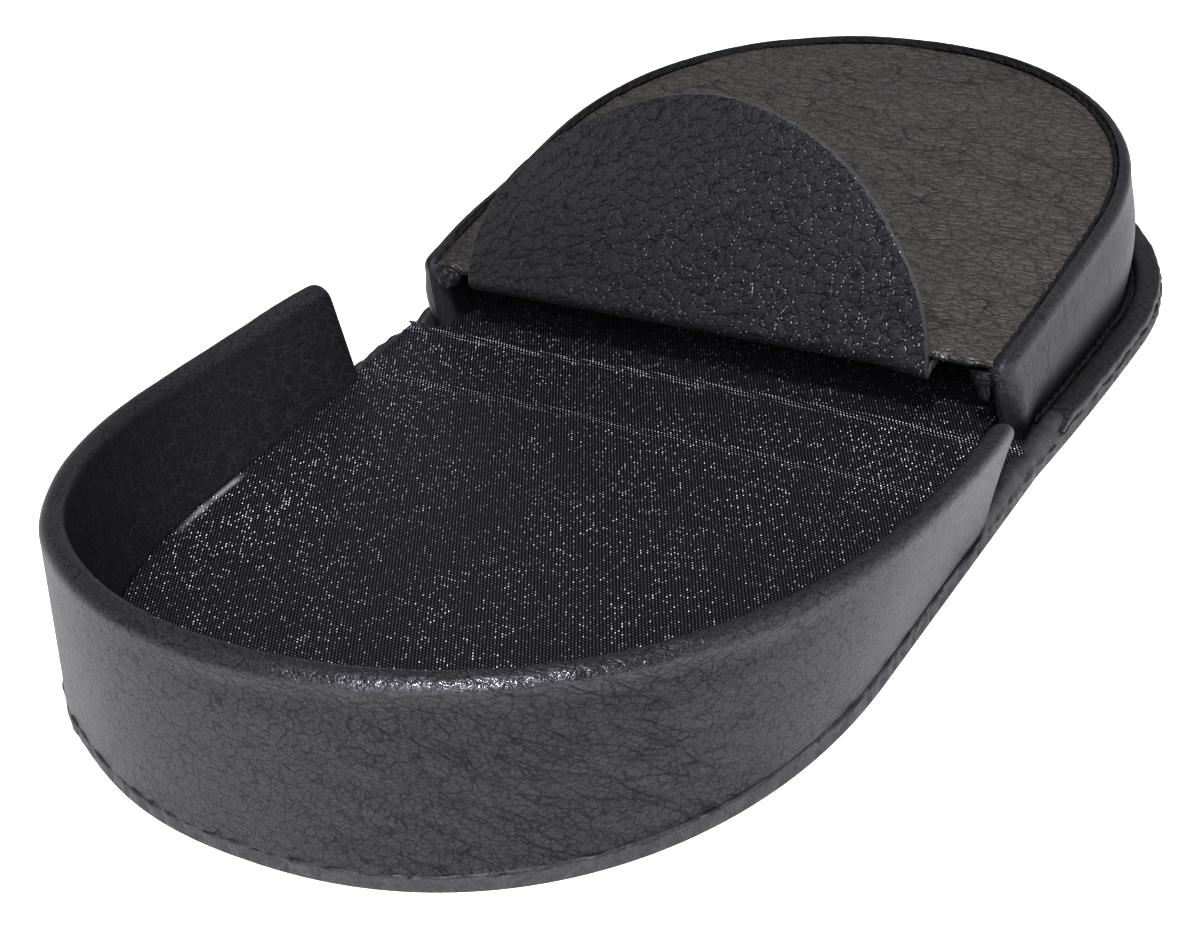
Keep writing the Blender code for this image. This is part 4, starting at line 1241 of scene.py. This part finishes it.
class PURSE_OT_band(Operator):
    """Upright band of the box, rolled at its upper edge and folded in at the mouth"""

    bl_idname = "coin_purse.band"
    bl_label = "Band"

    def execute(self, context):
        base, box = context.scene.purse_base, context.scene.purse_box
        plan = band_plan(0, box.band_start)
        radius = box.band_total / 2
        shares, lengths = stations_along(plan, middle=300, radius=radius)
        outline = plan(shares)
        inward = inward_normals(outline)
        narrowing, drop = end_insets(lengths, radius, corner=0.0016)
        from_end = np.minimum(lengths, lengths[-1] - lengths)
        folded = 1 - smooth_step(from_end, box.end_fold, box.end_fold + 0.0003)
        inner = box.band_leather + (box.band_total + END_BULK - box.band_leather) * folded
        # The feet of both ends lie behind their tops, and the right one also stands out
        lean = box.right_lean * (1 - smooth_step(lengths, 0.0, LEAN_RUN))
        outwards = 0.5 * lean
        lean += box.left_lean * (1 - smooth_step(lengths[-1] - lengths, 0.0, LEAN_RUN))
        height = band_top(outline[:, 1]) - drop + 0.00012 * noise_field(on_line(lengths), 0.012, 2.0)
        bottom = base.thickness + GLUE_GAP
        section = band_section(height, bottom, inner)
        loops = np.zeros((len(lengths), len(section), 3))
        turned_in = np.zeros((len(lengths), len(section)))
        for k, (offset, z) in enumerate(section):
            turned_in[:, k] = smooth_step(offset / box.band_total, 0.15, 0.45)
            offset = radius + (offset - radius) * (1 - narrowing)
            moved = outline + inward * offset[:, None]
            low = 1 - (z - bottom) / (height - bottom)
            x, y = moved[:, 0] + outwards * low, BOX_FOLD + moved[:, 1] + lean * low
            loops[:, k] = np.column_stack((x, y, z))
        points, faces = loft(loops)
        places = unrolled(loops, lengths)
        piece = make_piece("band_leather_skin", points, faces, places)
        row = np.tile(np.arange(len(section)), len(lengths))
        outside = (row < BAND_STEPS + BAND_EDGE_STEPS - 1).astype(float)
        soft = noise_field(places, (0.010, 0.006, 1.0), seed=3.0)
        fine = creases(places, (0.0016, 0.0040, 1.0), width=0.10, seed=8.0)
        push(piece, outside * (0.00008 * soft - 0.00003 * fine))
        # The band is painted darker in its fine creases and on the turned-in faces at its ends, as painted
        # shade, and towards its foot beside the lip's groove
        ragged = 0.0006 * noise_field(points, 0.0013, seed=23.0)
        at_foot = 1 - smooth_step(points[:, 2] + ragged, bottom + 0.0012, bottom + 0.0028)
        painted_shade_ends = turned_in * (1 - smooth_step(from_end, 0.0008, 0.0016))[:, None]
        note(piece, "furrow", np.clip(outside * fine * 0.15 + at_foot * 0.85 + 0.9 * painted_shade_ends.ravel(), 0, 1))
        # Its inner faces and end caps take the darker nappa, whose colour is painted shade
        paint(piece, material("nappa_leather_box"), material("nappa_leather_inner_painted_shade"))
        slots = [0 if outside[face[0]] and outside[face[2]] and len(face) == 4 else 1 for face in faces]
        piece.data.polygons.foreach_set("material_index", slots)
        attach(piece, "box")
        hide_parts("box_band_leather")
        return {"FINISHED"}


class PURSE_OT_band_layers(Operator):
    """Board and satin inside the band, as far as the thick fold at each of its ends"""

    bl_idname = "coin_purse.band_layers"
    bl_label = "Band layers"

    def execute(self, context):
        base, box = context.scene.purse_base, context.scene.purse_box
        plan = band_plan(0, box.band_start)
        shares, lengths = stations_along(plan, middle=200, radius=0.001)
        kept = np.minimum(lengths, lengths[-1] - lengths) > box.end_fold
        outline, inward = plan(shares)[kept], inward_normals(plan(shares))[kept]
        bottom = base.thickness + GLUE_GAP
        top = band_top(outline[:, 1]) - box.top_depth - box.top_leather - GLUE_GAP
        foot = np.full(len(top), bottom)
        # Node, name, slot, material, and how far behind the leather the layer begins and ends
        layers = (
            ("box_band_core", "band_board", "fibre_board", "bonded_fibre_board", 0.0001, 0.0008),
            ("box_band_lining", "band_satin", "satin_lining", "woven_satin_inside_box", 0.0009, 0.0013),
        )
        for node, name, slot, finish, near, far in layers:
            loops = np.zeros((len(outline), 4, 3))
            for k, (offset, z) in enumerate(((near, foot), (near, top), (far, top), (far, foot))):
                plane = outline + inward * (box.band_leather + offset)
                loops[:, k] = np.column_stack((plane[:, 0], BOX_FOLD + plane[:, 1], z))
            points, faces = loft(loops)
            piece = make_piece(name, points, faces, points)
            paint(piece, material(finish))
            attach(piece, "box")
            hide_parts(node)
        return {"FINISHED"}


class PURSE_OT_top(Operator):
    """Domed top of the box, wrinkled across, with its edge turned down into the seam"""

    bl_idname = "coin_purse.top"
    bl_label = "Top"

    def execute(self, context):
        box = context.scene.purse_box
        plan = band_plan(box.top_inset + box.top_edge, box.top_start + box.top_edge)
        rows, steps_across = 170, 170
        half, along = outline_rows(plan, rows)
        flat, faces, slots = slab(half, along, steps_across, box.top_leather, box.top_edge)
        widest = np.interp(flat[:, 1], along, half)
        across = np.clip(flat[:, 0] / np.maximum(widest, 0.001), -1, 1)
        lengthwise = np.clip((flat[:, 1] - along[0]) / (along[-1] - along[0]), 0, 1)
        rise = box.dome * (1 - across**2) * 4 * lengthwise * (1 - lengthwise)
        z = band_top(flat[:, 1]) - box.top_depth + rise - flat[:, 2]
        points = np.column_stack((flat[:, 0] - left_flare(flat[:, 0], flat[:, 1]), BOX_FOLD + flat[:, 1], z))
        piece = make_piece("top_leather_skin", points, faces, points, slots)
        upper = 1 - smooth_step(flat[:, 2], 0, box.top_leather * 0.6)
        flat_places = np.column_stack((flat[:, 0], flat[:, 1], np.zeros(len(flat))))
        wavy = flat_places.copy()
        wavy[:, 1] += 0.0011 * noise_field(flat_places, (0.009, 0.006, 1.0), seed=1.0)
        wrinkles = creases(wavy, (0.0120, 0.0040, 1.0), width=0.30, seed=3.0)
        swell = noise_field(wavy, (0.012, 0.0034, 1.0), seed=12.0)
        strength = 0.55 + 0.45 * noise_field(flat_places, 0.017, seed=14.0)
        depths = 0.00015 * swell - box.wrinkle * wrinkles * strength
        # The front edge is crumpled, most of all in the corners
        front = 1 - smooth_step(flat[:, 1], box.top_start, box.top_start + 0.0035)
        corner = smooth_step(np.abs(flat[:, 0]), 0.024, 0.033)
        crumple = noise_field(flat_places, (0.0016, 0.0022, 1.0), seed=41.0)
        push(piece, depths * upper)
        moved = points_of(piece)
        moved[:, 2] += front * (0.00012 + 0.00034 * corner) * crumple
        moved[:, 1] += front * corner * 0.0004 * noise_field(flat_places, (0.0020, 0.004, 1.0), seed=43.0)
        move_to(piece, moved)
        # Painted shade on the edge in the seam's groove, in the wrinkles and in the crumpled hollow at the
        # left corner of the mouth
        at_edge = smooth_step(flat[:, 2], box.top_leather * 0.15, box.top_leather * 0.5)
        patch_share = smooth_step(-flat[:, 0], 0.026, 0.034) * (1 - smooth_step(flat[:, 1], 0.003, 0.016))
        note(piece, "furrow", np.clip(0.15 * upper * wrinkles + at_edge + 0.9 * patch_share, 0, 1))
        note(piece, "gloss", front * corner)
        paint(piece, material("milled_cowhide_top"))
        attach(piece, "box")
        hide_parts("box_top_leather")
        return {"FINISHED"}


class PURSE_OT_tongue(Operator):
    """Tongue with its rolled root and its tail under the top, in one piece of leather"""

    bl_idname = "coin_purse.tongue"
    bl_label = "Tongue"

    def execute(self, context):
        box, tongue = context.scene.purse_box, context.scene.purse_tongue
        slope = math.atan2(box.height_rear - box.height_front, box.band_reach - box.band_start)
        outer = tongue.roll + tongue.thickness
        first = 3 * math.pi / 2 + slope
        last = math.pi - tongue.lean
        roll_length = outer * (first - last)
        flap_start = tongue.tail + roll_length
        radius = 0.0002
        across = 200

        rows = np.linspace(0, flap_start, 46)[:-1]
        turns = np.linspace(0, math.pi / 2 * 0.985, 120)
        climbing = np.sin(turns)
        flap_half = tongue.half * (1 - climbing**tongue.side_share) ** tongue.tip_share
        half = np.concatenate((np.full(len(rows), tongue.half), flap_half)) - radius
        along = np.concatenate((rows, flap_start + climbing * tongue.reach))
        flat, faces, slots = slab(half, along, across, tongue.thickness, radius)

        v, depth = flat[:, 1], flat[:, 2]
        up = smooth_step(v - flap_start, 0.012, 0.024)
        flat[:, 0] += tongue.skew * (2.0 * up - 1.0)
        turn = np.interp(v, (tongue.tail, flap_start), (first, last))
        y = TONGUE_AXIS.y + np.cos(turn) * (outer - depth)
        z = TONGUE_AXIS.z + np.sin(turn) * (outer - depth)
        tail = np.clip(tongue.tail - v, -radius, None)
        in_tail = v < tongue.tail
        y = y + np.where(in_tail, math.cos(slope) * tail, 0)
        z = z + np.where(in_tail, math.sin(slope) * tail, 0)
        flap = np.where(v > flap_start, v - flap_start, 0)
        y = y + math.sin(tongue.lean) * flap
        z = z + math.cos(tongue.lean) * flap
        # Its right lower corner sags
        low = smooth_step(v, tongue.tail, tongue.tail + roll_length * 0.5)
        low = low * (1 - smooth_step(v - flap_start, 0, 0.008))
        z = z - tongue.sag * smooth_step(flat[:, 0], tongue.half - 0.008, tongue.half) * low
        points = np.column_stack((flat[:, 0], y, z))
        places = np.column_stack((flat[:, 0], v, np.where(depth > tongue.thickness / 2, 0.05, 0)))
        piece = make_piece("tongue_leather", points, faces, places, slots)

        grain = (tongue.pebble * 0.95, tongue.pebble * 1.1, 1.0)
        cells = pebbles(places, grain, furrow=0.40, seed=3.0)
        on_face = 1 - edge_of_slab(points, len(half), across)
        away = smooth_step(tongue.tail - v, -0.0012, 0.0)
        push(piece, -on_face * tongue.pebble_depth * (1 - cells) * (1 - away))
        # The flap is painted darker as it rises: painted shade
        note(piece, "furrow", 0.25 * up)
        # More painted flecks of light towards the lower right, which faces the light
        towards_light = flat[:, 0] / tongue.half - (v - flap_start) / tongue.reach
        note(piece, "wear_and_glint", 0.15 + 0.85 * smooth_step(towards_light, -1.0, 0.4))
        paint(piece, material("milled_cowhide_tongue"), material("knife_cut_leather_edge"))
        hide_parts("tongue", "tongue_root")
        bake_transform(piece)
        return {"FINISHED"}


def fibres(path, number, length, radius, seed):
    """Loose ends along a path: thin bent hairs that stand out from it every way."""
    random = np.random.default_rng(seed)
    lengths = arc_lengths(path)
    t = np.linspace(0, 1, 5)[:, None]
    hairs = []
    for place in random.uniform(0, lengths[-1], number):
        root = np.array([np.interp(place, lengths, path[:, axis]) for axis in range(3)])
        lean = random.normal(size=3) * (1, 1, 0.5)
        lean[2] = abs(lean[2]) + 0.15
        lean /= np.linalg.norm(lean)
        bend = random.normal(size=3) * 0.35
        centre = root + length * random.uniform(0.4, 1.4) * (t * lean + t**2 * bend)
        side = np.cross(lean, (0, 0, 1.0))
        side /= np.linalg.norm(side)
        up = np.cross(side, lean)
        taper = radius * (1 - 0.7 * t)
        hairs.append(loft(np.stack([centre + taper * way for way in (side, up, -side, -up)], axis=1)))
    return hairs


def stitches(name, path, stitch, radius, rise, fuzz=0):
    """Twisted stitches along a path, an array of points: each one arches out of one hole and into the next.

    Fuzz is the number of loose fibres that stick to them.
    """
    lengths = arc_lengths(path)
    number = int(round(lengths[-1] / stitch))
    pitch = lengths[-1] / number
    around, steps = 8, 12
    parts = []
    for turn in range(number):
        t = np.linspace(0, 1, steps)
        wanted = (turn + 0.04 + 0.92 * t) * pitch
        centre = np.column_stack([np.interp(wanted, lengths, path[:, axis]) for axis in range(3)])
        centre[:, 2] += rise * (np.sin(math.pi * t) ** 0.7 - 0.6)
        along = np.gradient(centre, axis=0)
        along /= np.linalg.norm(along, axis=1)[:, None]
        side = np.cross(along, (0, 0, 1.0))
        side /= np.linalg.norm(side, axis=1)[:, None]
        up = np.cross(side, along)
        uneven = noise_field(centre, 0.0035, seed=51.0)[:, None]
        centre = centre + side * (0.00022 * uneven) + up * (0.00012 * uneven[::-1])
        thick = radius * (0.35 + 0.65 * np.sin(math.pi * t) ** 0.4) * (1 + 0.3 * uneven[:, 0])
        loops = np.zeros((steps, around, 3))
        for k in range(around):
            angle = 2 * math.pi * k / around
            plies = 1 + 0.16 * np.cos(2 * (angle - 2 * math.pi * 1.2 * t))
            loops[:, k] = centre + (side * math.cos(angle) + up * math.sin(angle)) * (thick * plies)[:, None]
        parts.append(loft(loops))
    parts += fibres(path, fuzz, length=0.0009, radius=0.000038, seed=5)
    faces, total = [], 0
    for points, made in parts:
        faces += [[corner + total for corner in face] for face in made]
        total += len(points)
    points = np.concatenate([points for points, made in parts])
    piece = make_piece(name, points, faces, points)
    paint(piece, material("spun_polyester_thread"))
    return piece


class PURSE_OT_seams(Operator):
    """Stitches in the top's seam and round the foot of the band"""

    bl_idname = "coin_purse.seams"
    bl_label = "Seams"

    def execute(self, context):
        base, box, thread = context.scene.purse_base, context.scene.purse_box, context.scene.purse_thread
        dense = np.linspace(0, 1, 2000)
        line = band_plan((box.band_leather + box.top_inset) / 2 + 0.00015, box.top_start)(dense)
        path = np.column_stack((line[:, 0], BOX_FOLD + line[:, 1], band_top(line[:, 1]) - 0.00035))
        top = stitches("top_seam_stitches", path, thread.stitch, thread.radius * 1.25, rise=0.00025)
        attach(top, "box")
        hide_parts("top_seam_thread")

        line = band_plan(-box.lip_groove / 2, box.lip_front)(dense)
        height = base.thickness + 0.0005
        path = np.column_stack((line[:, 0], BOX_FOLD + line[:, 1], np.full(len(line), height)))
        stitch, radius = thread.stitch * 0.8, thread.radius * 1.1
        foot = stitches("lip_seam_stitches", path, stitch, radius, rise=0.0003, fuzz=800)
        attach(foot, "box")
        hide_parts("lip_seam_thread")
        return {"FINISHED"}


class PURSE_OT_mouth_corners(Operator):
    """Gathered leather in the two upper corners of the mouth, the right one pulled down to a point"""

    bl_idname = "coin_purse.mouth_corners"
    bl_label = "Mouth corners"

    def execute(self, context):
        # In mm: shift from the frame's tuck and height above it; drop; half widths and half depths, top down
        shapes = {
            "right": (
                (1.5, -1.35, 0.25),
                3.5,
                [(1.7, 0.4), (1.75, 0.65), (1.4, 0.7), (1.0, 0.6), (0.75, 0.5), (0.6, 0.45), (0.4, 0.3)],
            ),
            "left": (
                (-1.4, -1.0, 0.75),
                2.8,
                [(1.1, 0.5), (1.7, 0.8), (1.9, 0.9), (1.8, 0.9), (1.5, 0.8), (1.0, 0.6), (0.4, 0.3)],
            ),
        }
        rings, around = 40, 40
        for name, (shift, drop, shape) in shapes.items():
            node = "mouth_tuck_" + name
            low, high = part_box(node)
            centre = (low + high) / 2 + Vector(shift) / 1000
            known = np.linspace(0, 1, len(shape))
            t = np.linspace(0, 1, rings)
            wide = np.interp(t, known, [size[0] for size in shape]) / 1000
            deep = np.interp(t, known, [size[1] for size in shape]) / 1000
            angle = 2 * math.pi * np.arange(around) / around
            loops = np.zeros((rings, around, 3))
            loops[:, :, 0] = centre.x + np.outer(wide, np.cos(angle))
            loops[:, :, 1] = centre.y + np.outer(deep, np.sin(angle))
            loops[:, :, 2] = (high.z + (shift[2] - drop * t) / 1000)[:, None]
            points, faces = loft(loops)
            piece = make_piece("mouth_gather_" + name, points, faces, points, sharp=80)
            pleats = creases(points, (0.0008, 0.0012, 0.0026), width=0.22, seed=2.0)
            push(piece, -0.00018 * pleats + 0.00022 * noise_field(points, 0.0013, seed=6.0))
            # Each gather is painted darker all over and most in its pleats: painted shade in the crumpled
            # hollow
            note(piece, "furrow", np.clip(0.45 + 0.5 * pleats, 0, 1))
            note(piece, "gloss", 0.5 * np.clip(noise_field(points, 0.0008, seed=9.0), 0, 1))
            paint(piece, material("nappa_leather"))
            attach(piece, "box")
            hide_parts(node)
        return {"FINISHED"}


class PURSE_OT_inner_layers(Operator):
    """Materials of the boards, cores, webbing and hidden linings, which keep their own solids"""

    bl_idname = "coin_purse.inner_layers"
    bl_label = "Inner layers"

    def execute(self, context):
        finishes = {
            "box_base_board": "bonded_fibre_board",
            "tray_board": "bonded_fibre_board",
            "tray_wall_core": "bonded_fibre_board",
            "spine_webbing": "cotton_webbing",
            "box_top_lining": "woven_satin_inside_box",
        }
        for node, finish in finishes.items():
            paint(frame["nodes"][node], material(finish))
        return {"FINISHED"}


# Place, width and power of each lamp
LAMPS = {
    "softbox_camera": ((0.30, -0.55, 0.45), 0.50, 4.0),
    "softbox_low": ((0.10, -0.60, 0.22), 0.40, 1.25),
    "softbox_right": ((0.50, 0.16, 0.22), 0.36, 1.0),
    "softbox_above": ((0.0, 0.0, 0.70), 0.50, 1.9),
    "spot_on_rim": ((0.14, -0.31, 0.55), 0.05, 4.0),
}
LAMP_TARGET = Vector((0, 0, 0.01))
WHITE = (1, 1, 1, 1)


def add_lamp(name, place, size, power):
    """A square softbox that faces the purse."""
    data = bpy.data.lights.new(name, "AREA")
    data.shape = "SQUARE"
    data.size = size
    data.energy = power
    lamp = bpy.data.objects.new(name, data)
    lamp.location = place
    lamp.rotation_euler = (LAMP_TARGET - Vector(place)).to_track_quat("-Z", "Y").to_euler()
    bpy.context.scene.collection.objects.link(lamp)


class PURSE_OT_stage(Operator):
    """White table, soft lamps and the camera"""

    bl_idname = "coin_purse.stage"
    bl_label = "Stage"

    def execute(self, context):
        scene, stage, colours = context.scene, context.scene.purse_stage, context.scene.purse_colours
        mesh = bpy.data.meshes.new("table")
        reach, drop = 2.0, -0.0001
        corners = [(x * reach, y * reach, drop) for x, y in ((-1, -1), (1, -1), (1, 1), (-1, 1))]
        mesh.from_pydata(corners, [], [(0, 1, 2, 3)])
        table = bpy.data.objects.new("table", mesh)
        scene.collection.objects.link(table)
        made, tree, shader = new_material("matt_white_card")
        seen = add(tree, "ShaderNodeLightPath", output="Is Camera Ray")
        glow = add(tree, "ShaderNodeMath", {0: seen, 1: 0.80, 2: 0.20}, operation="MULTIPLY_ADD")
        card = {"Base Color": linear(colours.floor), "Roughness": 0.9, "Emission Color": WHITE}
        feed(tree, shader, {**card, "Emission Strength": glow})
        paint(table, made)

        # The camera sees plain white, the purse a dimmer room
        world = bpy.data.worlds.new("white_tent")
        scene.world = world
        world.use_nodes = True
        tree = world.node_tree
        seen = add(tree, "ShaderNodeLightPath", output="Is Camera Ray")
        glow = add(tree, "ShaderNodeMath", {0: seen, 1: 0.72, 2: 0.28}, operation="MULTIPLY_ADD")
        feed(tree, tree.nodes["Background"], {"Color": WHITE, "Strength": glow})

        for name, (place, size, power) in LAMPS.items():
            add_lamp(name, place, size, power)

        data = bpy.data.cameras.new("camera")
        data.lens = stage.lens
        data.sensor_width = 36
        data.clip_start = 0.01
        camera = bpy.data.objects.new("camera", data)
        heading = Matrix.Rotation(stage.heading, 4, "Z")
        dip = Matrix.Rotation(math.pi / 2 - stage.dip, 4, "X")
        tilt = Matrix.Rotation(stage.tilt, 4, "Z")
        camera.matrix_world = Matrix.Translation(Vector(stage.camera)) @ heading @ dip @ tilt
        scene.collection.objects.link(camera)
        scene.camera = camera
        scene.view_settings.view_transform = "Standard"
        return {"FINISHED"}


OPERATORS = (
    PURSE_OT_bottom_leather,
    PURSE_OT_lining,
    PURSE_OT_tray_wall,
    PURSE_OT_lip,
    PURSE_OT_band,
    PURSE_OT_band_layers,
    PURSE_OT_top,
    PURSE_OT_tongue,
    PURSE_OT_seams,
    PURSE_OT_mouth_corners,
    PURSE_OT_inner_layers,
    PURSE_OT_stage,
)


class PURSE_PT_sidebar(Panel):
    """Lists the pieces of the purse and their sizes"""

    bl_idname = "PURSE_PT_sidebar"
    bl_label = "Tray Coin Purse"
    bl_space_type = "VIEW_3D"
    bl_region_type = "UI"
    bl_category = "Coin Purse"

    def draw(self, context):
        for group, attribute in GROUPS:
            settings = getattr(context.scene, attribute)
            column = self.layout.column(align=True)
            for name in group.__annotations__:
                column.prop(settings, name)
        for operator in OPERATORS:
            self.layout.operator(operator.bl_idname)


def register():
    for group, attribute in GROUPS:
        bpy.utils.register_class(group)
        setattr(bpy.types.Scene, attribute, PointerProperty(type=group))
    for operator in OPERATORS:
        bpy.utils.register_class(operator)
    bpy.utils.register_class(PURSE_PT_sidebar)


def unregister():
    bpy.utils.unregister_class(PURSE_PT_sidebar)
    for operator in reversed(OPERATORS):
        bpy.utils.unregister_class(operator)
    for group, attribute in reversed(GROUPS):
        delattr(bpy.types.Scene, attribute)
        bpy.utils.unregister_class(group)


def main():
    register()
    bpy.ops.coin_purse.bottom_leather()
    bpy.ops.coin_purse.lining()
    bpy.ops.coin_purse.tray_wall()
    bpy.ops.coin_purse.lip()
    bpy.ops.coin_purse.band()
    bpy.ops.coin_purse.band_layers()
    bpy.ops.coin_purse.top()
    bpy.ops.coin_purse.tongue()
    bpy.ops.coin_purse.seams()
    bpy.ops.coin_purse.mouth_corners()
    bpy.ops.coin_purse.inner_layers()
    bpy.ops.coin_purse.stage()
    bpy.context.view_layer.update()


if __name__ == "__main__":
    main()
